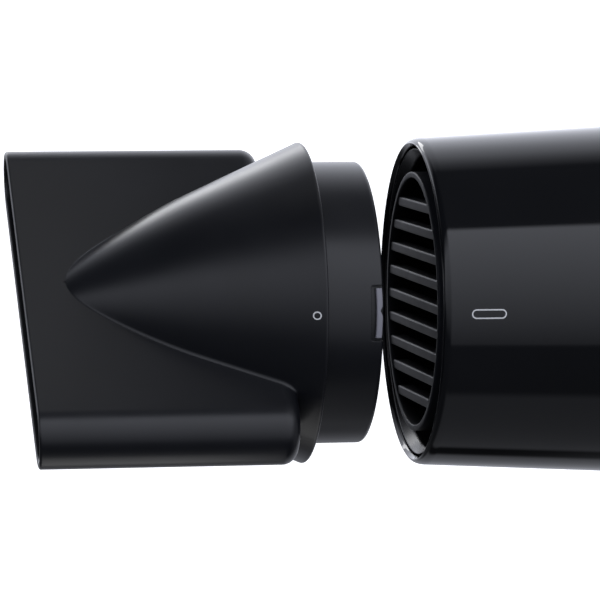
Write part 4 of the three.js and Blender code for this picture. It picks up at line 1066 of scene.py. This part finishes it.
zinc_steel = mottled("zinc_steel", (0.34, 0.35, 0.36), (0.55, 0.57, 0.58), 0.42, 1.5, 1, 0.01)
paint_nodes(zinc_steel, "motor_can")
ferrite = mottled("ferrite", (0.020, 0.020, 0.023), (0.045, 0.045, 0.048), 0.6, 0.8, 0, 0.03)
paint_nodes(ferrite, "motor_magnet_right", "motor_magnet_left")
bronze = mottled("bronze", (0.30, 0.19, 0.09), (0.48, 0.31, 0.15), 0.4, 0.7, 1, 0.02)
paint_nodes(bronze, "motor_bearing_front", "motor_bearing_rear")
copper = mottled("copper", (0.42, 0.19, 0.10), (0.64, 0.34, 0.20), 0.34, 1.0, 1, 0.01)
paint_nodes(copper, "commutator")
carbon = mottled("carbon", (0.012, 0.012, 0.013), (0.03, 0.03, 0.03), 0.75, 0.4, 0, 0.03)
paint_nodes(carbon, "motor_brush_upper", "motor_brush_lower")
board_green = mottled("board_green", (0.008, 0.055, 0.028), (0.016, 0.095, 0.05), 0.42, 2.5, 0, 0.02)
paint_nodes(board_green, "rectifier_board", "switch_board")
blue_film = mottled("blue_film", (0.012, 0.05, 0.14), (0.025, 0.09, 0.22), 0.36, 2.0, 0, 0.02)
paint_nodes(blue_film, "capacitor")
soft_plastic = plastic("soft_plastic", (0.012, 0.012, 0.013), 0.55, grain=0.006)
paint_nodes(soft_plastic, "motor_mount", "speed_switch", "heat_switch")

# ---------------------------------------------------------------- Fan
# A moulded axial fan pressed on the motor's shaft: a cupped hub with seven pitched blades, which twist
# and thin towards their tips as real ones do.

FAN_BLADES = 7
HUB_RADIUS = 11
HUB_BORE = 1.8
PITCH_AT_HUB = math.radians(48)
PITCH_AT_TIP = math.radians(30)
HALF_CHORD = 4.2
CHORD_GROWTH = 0.5
BLADE_HALF = 0.75
BLADE_THINNING = 0.25
BLADE_EDGE = 0.12
CAMBER = 0.55
fan_low, fan_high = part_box("fan_impeller")
fan_start = (fan_low.x - rim.x) / MM
fan_end = (fan_high.x - rim.x) / MM
fan_tip = max(fan_high.z - rim.z, fan_high.y) / MM - 0.3

hub_outline = [
    (fan_start, HUB_BORE, 0.2),
    (fan_start, HUB_BORE + 2.5, 0.3),
    (fan_end - 4, HUB_BORE + 2.5, 0.3),
    (fan_end - 4, HUB_RADIUS - 1.5, 0.5),
    (fan_start, HUB_RADIUS - 1.5, 0.3),
    (fan_start, HUB_RADIUS, 0.3),
    (fan_end - 3, HUB_RADIUS, 0.8),
    (fan_end, HUB_RADIUS - 3.5, 1.5),
    (fan_end, HUB_BORE, 0.2),
]
fan = turned("fan", hub_outline, sides=SMALL_ROUND)


def fan_blade(index):
    """A twisted blade: at each radius an aerofoil-like section, thick in the middle and thin at its edges."""
    SPAN_STEPS, CHORD_STEPS = 8, 8
    middle = (fan_start + fan_end - 2) / 2
    loops = []
    for i in range(SPAN_STEPS + 1):
        share = i / SPAN_STEPS
        radius = HUB_RADIUS - 0.8 + (fan_tip - HUB_RADIUS + 0.8) * share
        pitch = PITCH_AT_HUB + (PITCH_AT_TIP - PITCH_AT_HUB) * share
        half_chord = HALF_CHORD + CHORD_GROWTH * share
        half_thick = BLADE_HALF - BLADE_THINNING * share
        loop = []
        for side in (1, -1):
            for j in range(CHORD_STEPS + 1):
                x = (2 * j / CHORD_STEPS - 1) * side
                thickness = half_thick * math.sqrt(max(0, 1 - x**2)) * side + BLADE_EDGE * side
                camber = CAMBER * (1 - x**2)
                along, across = x * half_chord, thickness + camber
                a = along * math.cos(pitch) - across * math.sin(pitch)
                b = along * math.sin(pitch) + across * math.cos(pitch)
                turn = b / radius + 2 * math.pi * index / FAN_BLADES
                loop.append(Vector((middle + a, radius * math.sin(turn), radius * math.cos(turn))) * MM + rim)
        loops.append(loop)
    faces = stack_faces(SPAN_STEPS + 1, len(loops[0]))
    return new_piece(f"fan_blade_{index}", [p for loop in loops for p in loop], faces)


carve(fan, join_pieces([fan_blade(i) for i in range(FAN_BLADES)], "fan_blades"), "UNION")
fan_black = plastic("fan_black", (0.016, 0.016, 0.018), 0.38, grain=0.003)
fan.data.materials.append(fan_black)
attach(fan, "rotor")
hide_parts("fan_impeller")

# ---------------------------------------------------------------- Air inlet
# A domed cover of satin black with rays of round-ended slots. Its skirt pushes into the barrel's tail, and a
# woven gauze in a plastic ring, clipped in the skirt, keeps the fluff out.

COVER_DEPTH = 20
COVER_FLAT = 20
COVER_WALL = 2
COVER_SKIRT = 7
SLOT_COUNT = 24
SLOT_HALF = 1.1
LONG_SLOT_START = 9
SHORT_SLOT_START = 18
SLOT_MARGIN = 6
COVER_STEPS = 14
cover_start = barrel_length + FIT
skirt_radius = tail_radius - SHELL_WALL - FIT


def cover_line(inset):
    line = []
    for i in range(COVER_STEPS + 1):
        angle = math.pi / 2 * i / COVER_STEPS
        radius = COVER_FLAT + (tail_radius - COVER_FLAT) * math.cos(angle) - inset * math.cos(angle)
        line.append((cover_start + (COVER_DEPTH - inset) * math.sin(angle), radius, 0))
    return line


cover_outline = [
    (cover_start - COVER_SKIRT, skirt_radius - COVER_WALL, 0.3),
    (cover_start - COVER_SKIRT, skirt_radius, 0.5),
    (cover_start, skirt_radius, 0.1),
    *cover_line(0),
    (cover_start + COVER_DEPTH, 0, 0),
    (cover_start + COVER_DEPTH - COVER_WALL, 0, 0),
    *reversed(cover_line(COVER_WALL)[1:]),
    (cover_start, skirt_radius - COVER_WALL, 0),
]
cover = turned("inlet_dome", cover_outline)


def ray_slot(index):
    """A round-ended slot that points outwards from the middle of the cover."""
    start = SHORT_SLOT_START if index % 2 else LONG_SLOT_START
    end = tail_radius - SLOT_MARGIN
    turn = 2 * math.pi * index / SLOT_COUNT
    outward = Vector((0, math.sin(turn), math.cos(turn)))
    sideways = Vector((0, math.cos(turn), -math.sin(turn)))
    outline = slot_path(start, end, 2 * SLOT_HALF, steps=8)
    vertices = []
    for along in (cover_start + 1.0, cover_start + COVER_DEPTH + 2):
        for reach, across in outline:
            vertices.append(rim + (Vector((along, 0, 0)) + outward * reach + sideways * across) * MM)
    return new_piece(f"slot_{index}", vertices, stack_faces(2, len(outline)))


carve(cover, join_pieces([ray_slot(i) for i in range(SLOT_COUNT)], "slots"))
cover_black = plastic("cover_black", SATIN_BLACK, 0.34, grain=0.004, smudge=0.08, edge=0.25)
cover.data.materials.append(cover_black)
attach(cover, "inlet_cover")
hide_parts("inlet_cover")

GAUZE_PITCH = 1.0
GAUZE_WIRE = 0.16
GAUZE_STEP = 0.5
FILTER_RING = 2
filter_low, filter_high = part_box("inlet_filter")
filter_radius = (filter_high.z - filter_low.z) / 2 / MM
filter_start = (filter_low.x - rim.x) / MM
filter_end = (filter_high.x - rim.x) / MM
gauze_reach = filter_radius - FILTER_RING / 2


def gauze_wires():
    """Wires along Y and along Z, each passing over and under those that cross it."""
    vertices, faces = [], []
    rows = int(gauze_reach / GAUZE_PITCH)
    middle = (filter_start + filter_end) / 2
    for upright in (False, True):
        for row in range(-rows, rows + 1):
            offset = row * GAUZE_PITCH
            half = math.sqrt(gauze_reach**2 - offset**2)
            steps = max(2, int(2 * half / GAUZE_STEP))
            for i in range(steps + 1):
                reach = half * (2 * i / steps - 1)
                phase = math.pi * (reach / GAUZE_PITCH + row)
                wave = GAUZE_WIRE * math.cos(phase) * (1 if upright else -1)
                for k in range(4):
                    turn = math.pi / 2 * k
                    a = middle + wave + GAUZE_WIRE * math.cos(turn)
                    b = offset + GAUZE_WIRE * math.sin(turn)
                    place = (a, b, reach) if upright else (a, reach, b)
                    vertices.append(rim + Vector(place) * MM)
                if i:
                    near, far = len(vertices) - 8, len(vertices) - 4
                    faces += [(near + k, near + (k + 1) % 4, far + (k + 1) % 4, far + k) for k in range(4)]
            first = len(vertices) - 4 * (steps + 1)
            faces += [tuple(range(first, first + 4)), tuple(range(len(vertices) - 4, len(vertices)))]
    return new_piece("gauze_wires", vertices, faces, sharp=80)


filter_outline = [
    (filter_start, filter_radius - FILTER_RING, 0.25),
    (filter_start, filter_radius, 0.25),
    (filter_end, filter_radius, 0.25),
    (filter_end, filter_radius - FILTER_RING, 0.25),
]
filter_gauze = join_pieces([turned("filter_ring", filter_outline), gauze_wires()], "filter_gauze")
gauze_grey = mottled("gauze_grey", (0.10, 0.10, 0.11), (0.22, 0.22, 0.23), 0.45, 1.2, 0.6, 0.01)
filter_gauze.data.materials.append(gauze_grey)
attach(filter_gauze, "inlet_cover")
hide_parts("inlet_filter")

# ---------------------------------------------------------------- Handle
# Two moulded halves in satin black, joined along the middle by two screws from the right. The grip is a
# rounded oblong that slims to the foot and sweeps out under the barrel, with a flat thumb panel in front.

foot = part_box("handle_left")[0].z / MM
GRIP_DEPTH = 17
GRIP_WIDTH = 14.5
ROUNDNESS = 2.4
SLIM_FROM = 18
SLIM_DEPTH, SLIM_WIDTH = 2, 1.2
SWEEP_DEPTH, SWEEP_WIDTH = 9, 5
HANDLE_WALL = 2.4
HOLLOW_ROUNDING = 0.6
SEAM = 0.15
TONGUE = 0.7
TONGUE_HALF = 1
TONGUE_FROM = 9
FOOT_ROUNDING = 3
SWEEP_TOP = 60
STACK = 44
CLEAR = 60
CLEAR_TOP = 70
PANEL_FACE = 16
PANEL_HALF = 6.5
PANEL_BOTTOM = -17
PANEL_TOP = 38
PANEL_ROUNDING = 1.6
CUT_FROM, CUT_TO = 8, 40
BUTTON_HEIGHT = 30.5
BUTTON_HOLE = 4.5
SLOT_MIDDLES = (14, -5)
SLOT_TRAVEL_HALF = 5.8
SLOT_ACROSS_HALF = 1.8
GLAND_PLACE = -5
GLAND_HOLE = 5.3
LOOP_PLACE = 8
LOOP_HOLE_HALF = 3.3
LOOP_HOLE_ACROSS = 1.8
FOOT_CUT = (foot - 5, foot + 8)
SCREWS = ((-9, 24), (0, -50))
SCREW_HEAD = 2.6
SCREW_RECESS = 2.9
SCREW_SEAT = 2.4
SCREW_SEAT_DEPTH = 3


def smooth(share):
    share = min(1, max(0, share))
    return share * share * (3 - 2 * share)


def grip_size(height):
    slim = smooth((-height - SLIM_FROM) / (-foot - SLIM_FROM))
    sweep = smooth((height - PANEL_TOP) / (SWEEP_TOP - PANEL_TOP))
    half_depth = GRIP_DEPTH - SLIM_DEPTH * slim + SWEEP_DEPTH * sweep
    half_width = GRIP_WIDTH - SLIM_WIDTH * slim + SWEEP_WIDTH * sweep
    return half_depth, half_width


def grip(name, inset, bottom, edge, sides=112):
    """The grip as a stack of rounded oblongs, moved in by a wall, with its foot rounded off."""
    levels = []
    for i in range(7):
        angle = math.pi / 2 * i / 6
        levels.append((bottom + edge * (1 - math.sin(angle)), edge * (1 - math.cos(angle))))
    levels.reverse()
    upright = SWEEP_TOP - bottom - edge
    levels += [(bottom + edge + upright * i / STACK, 0) for i in range(1, STACK + 1)]
    vertices = []
    for height, cut in levels:
        half_depth, half_width = (size - inset - cut for size in grip_size(height))
        for side in range(sides):
            angle = 2 * math.pi * side / sides
            c, s = math.cos(angle), math.sin(angle)
            x = half_depth * math.copysign(abs(c) ** (2 / ROUNDNESS), c)
            y = half_width * math.copysign(abs(s) ** (2 / ROUNDNESS), s)
            vertices.append(Vector((x, y, height)) * MM)
    return new_piece(name, vertices, stack_faces(len(levels), sides))


def block(name, low, high, rounding=0.0):
    return rounded_bar(name, Vector(low) * MM, Vector(high) * MM, rounding)


def rod(name, axis, centre, radius, start, end, sides=SMALL_ROUND, rounding=0.0):
    outline = [(start, 0, 0), (start, radius, rounding), (end, radius, rounding), (end, 0, 0)]
    return turned(name, outline, axis, Vector(centre) * MM, sides)


def upright_slot(name, middle, half_length, half_across):
    """A round-ended slot through the thumb panel, cut along X."""
    outline = slot_path(middle - half_length, middle + half_length, 2 * half_across, steps=8)
    vertices = [Vector((x, across, height)) * MM for x in (CUT_FROM, CUT_TO) for height, across in outline]
    return new_piece(name, vertices, stack_faces(2, len(outline)))


def barrel_room():
    outline = [(-5, 0, 0), (-5, shell_radius(60) + FIT, 0)]
    outline += [(a, shell_radius(a) + FIT, 0) for a in range(60, int(barrel_length) + 1, 4)]
    outline += [(barrel_length + 5, tail_radius, 0), (barrel_length + 5, 0, 0)]
    return turned("barrel_room", outline)


def rounded_panel(name, low, high, rounding):
    """A block along X whose long edges are rounded, for the thumb panel."""
    corners = [(low[1], low[2]), (high[1], low[2]), (high[1], high[2]), (low[1], high[2])]
    outline = rounded([(y, z, rounding) for y, z in corners], 6)
    vertices = [Vector((x, y, z)) * MM for x in (low[0], high[0]) for y, z in outline]
    return new_piece(name, vertices, stack_faces(2, len(outline)))


def seam_tongue():
    """A thin band inside the wall that bridges the seam, so that no daylight shows between the halves."""
    tongue = grip("tongue", HANDLE_WALL - 0.02, foot, FOOT_ROUNDING)
    carve(tongue, grip("tongue_hollow", HANDLE_WALL + TONGUE, foot, HOLLOW_ROUNDING))
    carve(tongue, barrel_room())
    button_room = rod("button_room", "X", (0, 0, BUTTON_HEIGHT), BUTTON_HOLE + 1.4, CUT_FROM, CUT_TO)
    carve(tongue, button_room)
    for middle in SLOT_MIDDLES:
        carve(tongue, upright_slot("slider_room", middle, SLOT_TRAVEL_HALF, SLOT_ACROSS_HALF))
    band_low = (-CLEAR, -TONGUE_HALF, foot + TONGUE_FROM)
    band_high = (CLEAR, TONGUE_HALF, CLEAR_TOP)
    carve(tongue, block("tongue_band", band_low, band_high), "INTERSECT")
    return tongue


def handle_half(name, side):
    """One half: the grip less its hollow, the barrel's seat, the thumb panel, and the holes."""
    half = grip(name, 0, foot, FOOT_ROUNDING)
    carve(half, grip("hollow", HANDLE_WALL, foot + HANDLE_WALL, HOLLOW_ROUNDING))
    carve(half, barrel_room())
    panel_low = (PANEL_FACE, -PANEL_HALF, PANEL_BOTTOM)
    carve(half, rounded_panel("panel", panel_low, (CUT_TO, PANEL_HALF, PANEL_TOP), PANEL_ROUNDING))
    carve(half, rod("button_hole", "X", (0, 0, BUTTON_HEIGHT), BUTTON_HOLE, CUT_FROM, CUT_TO))
    for middle in SLOT_MIDDLES:
        carve(half, upright_slot("slider_slot", middle, SLOT_TRAVEL_HALF, SLOT_ACROSS_HALF))
    carve(half, rod("gland_hole", "Z", (GLAND_PLACE, 0, 0), GLAND_HOLE, *FOOT_CUT))
    loop_low = (LOOP_PLACE - LOOP_HOLE_HALF, -LOOP_HOLE_ACROSS, FOOT_CUT[0])
    loop_high = (LOOP_PLACE + LOOP_HOLE_HALF, LOOP_HOLE_ACROSS, FOOT_CUT[1])
    carve(half, block("loop_hole", loop_low, loop_high))
    if side > 0:
        for x, z in SCREWS:
            head_face = grip_size(z)[1] - SCREW_SEAT
            recess_floor = head_face - SCREW_SEAT_DEPTH
            carve(half, rod("screw_recess", "Y", (x, 0, z), SCREW_RECESS, recess_floor, 30))
    near, far = (SEAM, CLEAR) if side > 0 else (-CLEAR, -SEAM)
    carve(half, block("keep", (-CLEAR, near, foot - 10), (CLEAR, far, CLEAR_TOP)), "INTERSECT")
    if side < 0:
        carve(half, seam_tongue(), "UNION")
    return half


grip_black = plastic("grip_black", SATIN_BLACK, 0.40, grain=0.006, grain_size=0.4, smudge=0.08, edge=0.35)
for side, place in ((-1, "left"), (1, "right")):
    half = handle_half(f"grip_{place}", side)
    half.data.materials.append(grip_black)
    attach(half, "housing")
    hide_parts(f"handle_{place}")

SHANK_RADIUS = 1.2
POINT_RADIUS = 0.75
HEAD_HEIGHT = 1.8
CROSS_HALF, CROSS_ARM, CROSS_DEPTH = 1.6, 0.35, 1.1
screw_steel = mottled("screw_steel", (0.20, 0.20, 0.21), (0.42, 0.42, 0.43), 0.36, 0.8, 1, 0.01)
for (x, z), place in zip(SCREWS, ("upper", "lower")):
    low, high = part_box(f"handle_screw_{place}")
    tip, top = low.y / MM, high.y / MM
    outline = [
        (tip, 0, 0),
        (tip + 1.2, POINT_RADIUS, 0.2),
        (tip + 2, SHANK_RADIUS, 0.3),
        (top - HEAD_HEIGHT, SHANK_RADIUS, 0.1),
        (top - HEAD_HEIGHT, SCREW_HEAD, 0.3),
        (top - 0.5, SCREW_HEAD, 0.5),
        (top, SCREW_HEAD - 1, 0.6),
        (top, 0, 0),
    ]
    screw = turned(f"screw_{place}", outline, "Y", Vector((x, 0, z)) * MM, 48)
    for wide, tall in ((CROSS_HALF, CROSS_ARM), (CROSS_ARM, CROSS_HALF)):
        cross_low = (x - wide, top - CROSS_DEPTH, z - tall)
        carve(screw, block("cross", cross_low, (x + wide, top + 1, z + tall), 0.1))
    screw.data.materials.append(screw_steel)
    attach(screw, "housing")
    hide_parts(f"handle_screw_{place}")

# ---------------------------------------------------------------- Thumb controls
# Two grey sliders, for speed and heat, with ridges for the thumb, and a round cool-shot button above them.
# Behind the panel the board carries their switches, and a coil spring lifts the button.

KNOB_BACK = 16.3
KNOB_FACE = 19.3
KNOB_HALF = 5.3
KNOB_HEIGHT = 9
RIDGE_PITCH = 2.4
STEM_HALF = 1.5
VALLEY_DEPTH = 0.7
VALLEY_MOUTH = 0.75
VALLEY_FLOOR = 0.3
SIDE_ROUNDING = 0.6
SIDE_STEPS = 5


def thumb_slider(name, node):
    """A soft-edged knob on a stem, with three valleys across its face."""
    low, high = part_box(node)
    middle = (low.z + high.z) / 2 / MM
    bottom, top = middle - KNOB_HEIGHT / 2, middle + KNOB_HEIGHT / 2
    corners = [(KNOB_BACK, bottom, 0.3), (KNOB_FACE, bottom, 0.9)]
    for row in (-1, 0, 1):
        valley = middle + row * RIDGE_PITCH
        corners += [
            (KNOB_FACE, valley - VALLEY_MOUTH, 0.2),
            (KNOB_FACE - VALLEY_DEPTH, valley - VALLEY_FLOOR, 0.25),
            (KNOB_FACE - VALLEY_DEPTH, valley + VALLEY_FLOOR, 0.25),
            (KNOB_FACE, valley + VALLEY_MOUTH, 0.2),
        ]
    corners += [(KNOB_FACE, top, 0.9), (KNOB_BACK, top, 0.3)]
    outline = rounded(corners, 4)
    angles = [math.pi / 2 * i / SIDE_STEPS for i in range(SIDE_STEPS + 1)]
    insets = [SIDE_ROUNDING * (1 - math.sin(angle)) for angle in angles]
    depths = [SIDE_ROUNDING * (1 - math.cos(angle)) for angle in angles]
    stations = [(-KNOB_HALF + d, i) for d, i in zip(depths, insets)]
    stations += [(KNOB_HALF - d, i) for d, i in reversed(list(zip(depths, insets)))]
    centre = Vector(((KNOB_BACK + KNOB_FACE) / 2, middle))
    vertices = []
    for across, inset in stations:
        for x, z in outline:
            towards = centre - Vector((x, z))
            moved_x = x + math.copysign(min(inset, abs(towards.x)), towards.x) if x > KNOB_BACK + 1 else x
            moved_z = z + towards.y / (KNOB_HEIGHT / 2) * inset
            vertices.append(Vector((moved_x, across, moved_z)) * MM)
    knob = new_piece(name, vertices, stack_faces(len(stations), len(outline)))
    stem_low = (low.x / MM, -STEM_HALF, middle - STEM_HALF)
    stem = block("stem", stem_low, (KNOB_BACK + 1, STEM_HALF, middle + STEM_HALF), 0.2)
    carve(knob, stem, "UNION")
    return knob


control_grey = plastic("control_grey", (0.27, 0.28, 0.29), 0.44, grain=0.003, edge=0.25)
for name in ("speed", "heat"):
    knob = thumb_slider(f"{name}_knob", f"{name}_slider")
    knob.data.materials.append(control_grey)
    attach(knob, f"{name}_slider")
    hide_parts(f"{name}_slider")

button_low, button_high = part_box("cool_button")
button_face = button_high.x / MM
FLANGE_FACE = 14.3
FLANGE_THICKNESS = 1.2
FLANGE_RADIUS = 5.4
BUTTON_RADIUS = 4.2
BUTTON_STEM = 1.4
button_place = Vector((0, 0, BUTTON_HEIGHT)) * MM
button_outline = [
    (button_low.x / MM, 0, 0),
    (button_low.x / MM, BUTTON_STEM, 0.3),
    (FLANGE_FACE - FLANGE_THICKNESS, BUTTON_STEM, 0.1),
    (FLANGE_FACE - FLANGE_THICKNESS, FLANGE_RADIUS, 0.2),
    (FLANGE_FACE, FLANGE_RADIUS, 0.2),
    (FLANGE_FACE, BUTTON_RADIUS, 0.1),
    (button_face, BUTTON_RADIUS, 0.8),
    (button_face, 2.8, 0.5),
    (button_face - 0.35, 1.4, 0.6),
    (button_face - 0.4, 0, 0),
]
button = turned("cool_shot_button", button_outline, "X", button_place, SMALL_ROUND)
button.data.materials.append(control_grey)
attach(button, "cool_button")
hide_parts("cool_button")

spring_low, spring_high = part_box("cool_button_spring")
SPRING_WIRE = 0.4
SPRING_RADIUS = 3
SPRING_TURNS = 4
spring_pitch = ((spring_high.x - spring_low.x) / MM - 2 * SPRING_WIRE) / SPRING_TURNS
spring_start = spring_low.x / MM + SPRING_WIRE
spring_size = (SPRING_RADIUS, SPRING_WIRE, spring_start, spring_pitch, SPRING_TURNS)
spring = wound_wire("button_spring", *spring_size, button_place)
spring.data.materials.append(bright_steel)
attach(spring, frame["nodes"]["cool_button_spring"]["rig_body"])
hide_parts("cool_button_spring")
switch_grey = plastic("switch_grey", (0.20, 0.20, 0.21), 0.5, grain=0.004)
paint_nodes(switch_grey, "cool_microswitch")

# ---------------------------------------------------------------- Foot of the handle
# A ribbed rubber bush for the lead, gripped by the foot's wall, and beside it a soft loop on a flat neck
# for hanging the dryer up.

gland_low, gland_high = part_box("cord_gland")
GLAND_RADIUS = 5
GLAND_BORE = 3.2
FLANGE_REACH = 1.5
RIB_DEPTH = 0.8
gland_bottom, gland_top = gland_low.z / MM, gland_high.z / MM
footing = foot + HANDLE_WALL
gland_outline = [
    (gland_bottom, GLAND_BORE, 0.5),
    (gland_bottom, GLAND_RADIUS - 0.5, 0.6),
    (gland_bottom + 1.1, GLAND_RADIUS - 0.2, 0.3),
    (gland_bottom + 1.5, GLAND_RADIUS - RIB_DEPTH, 0.2),
    (gland_bottom + 2.0, GLAND_RADIUS - RIB_DEPTH, 0.2),
    (gland_bottom + 2.4, GLAND_RADIUS, 0.3),
    (foot, GLAND_RADIUS, 0),
    (footing + FIT, GLAND_RADIUS, 0.1),
    (footing + FIT, GLAND_RADIUS + FLANGE_REACH, 0.3),
    (footing + 2, GLAND_RADIUS + FLANGE_REACH, 0.3),
    (footing + 2, GLAND_RADIUS, 0.2),
    (gland_top, GLAND_RADIUS, 0.3),
    (gland_top, GLAND_BORE, 0.3),
]
bush = turned("lead_bush", gland_outline, "Z", Vector((GLAND_PLACE, 0, 0)) * MM, SMALL_ROUND)
rubber = plastic("rubber", (0.011, 0.011, 0.012), 0.62, grain=0.008, grain_size=0.5, smudge=0.1)
bush.data.materials.append(rubber)
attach(bush, "housing")
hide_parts("cord_gland")

LOOP_RADIUS = 7
LOOP_HOLE = 4.6
LOOP_HALF = 1.5
NECK_HALF = 3
HEAD_REACH = 2
loop_low, loop_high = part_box("hanging_loop")
loop_centre = (LOOP_PLACE, 0, loop_low.z / MM + LOOP_RADIUS)
loop_outline = [
    (-LOOP_HALF, LOOP_HOLE, 0.7),
    (-LOOP_HALF, LOOP_RADIUS, 0.9),
    (LOOP_HALF, LOOP_RADIUS, 0.9),
    (LOOP_HALF, LOOP_HOLE, 0.7),
]
loop = turned("hang_loop", loop_outline, "Y", Vector(loop_centre) * MM, 96)
neck_low = (LOOP_PLACE - NECK_HALF, -LOOP_HALF, loop_centre[2] + LOOP_HOLE + 0.8)
neck_high = (LOOP_PLACE + NECK_HALF, LOOP_HALF, footing + 1)
carve(loop, block("loop_neck", neck_low, neck_high, 0.6), "UNION")
head_low = (LOOP_PLACE - NECK_HALF, -LOOP_HALF - HEAD_REACH, footing + FIT)
head_high = (LOOP_PLACE + NECK_HALF, LOOP_HALF + HEAD_REACH, loop_high.z / MM)
carve(loop, block("loop_head", head_low, head_high, 0.3), "UNION")
loop.data.materials.append(rubber)
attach(loop, "housing")
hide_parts("hanging_loop")
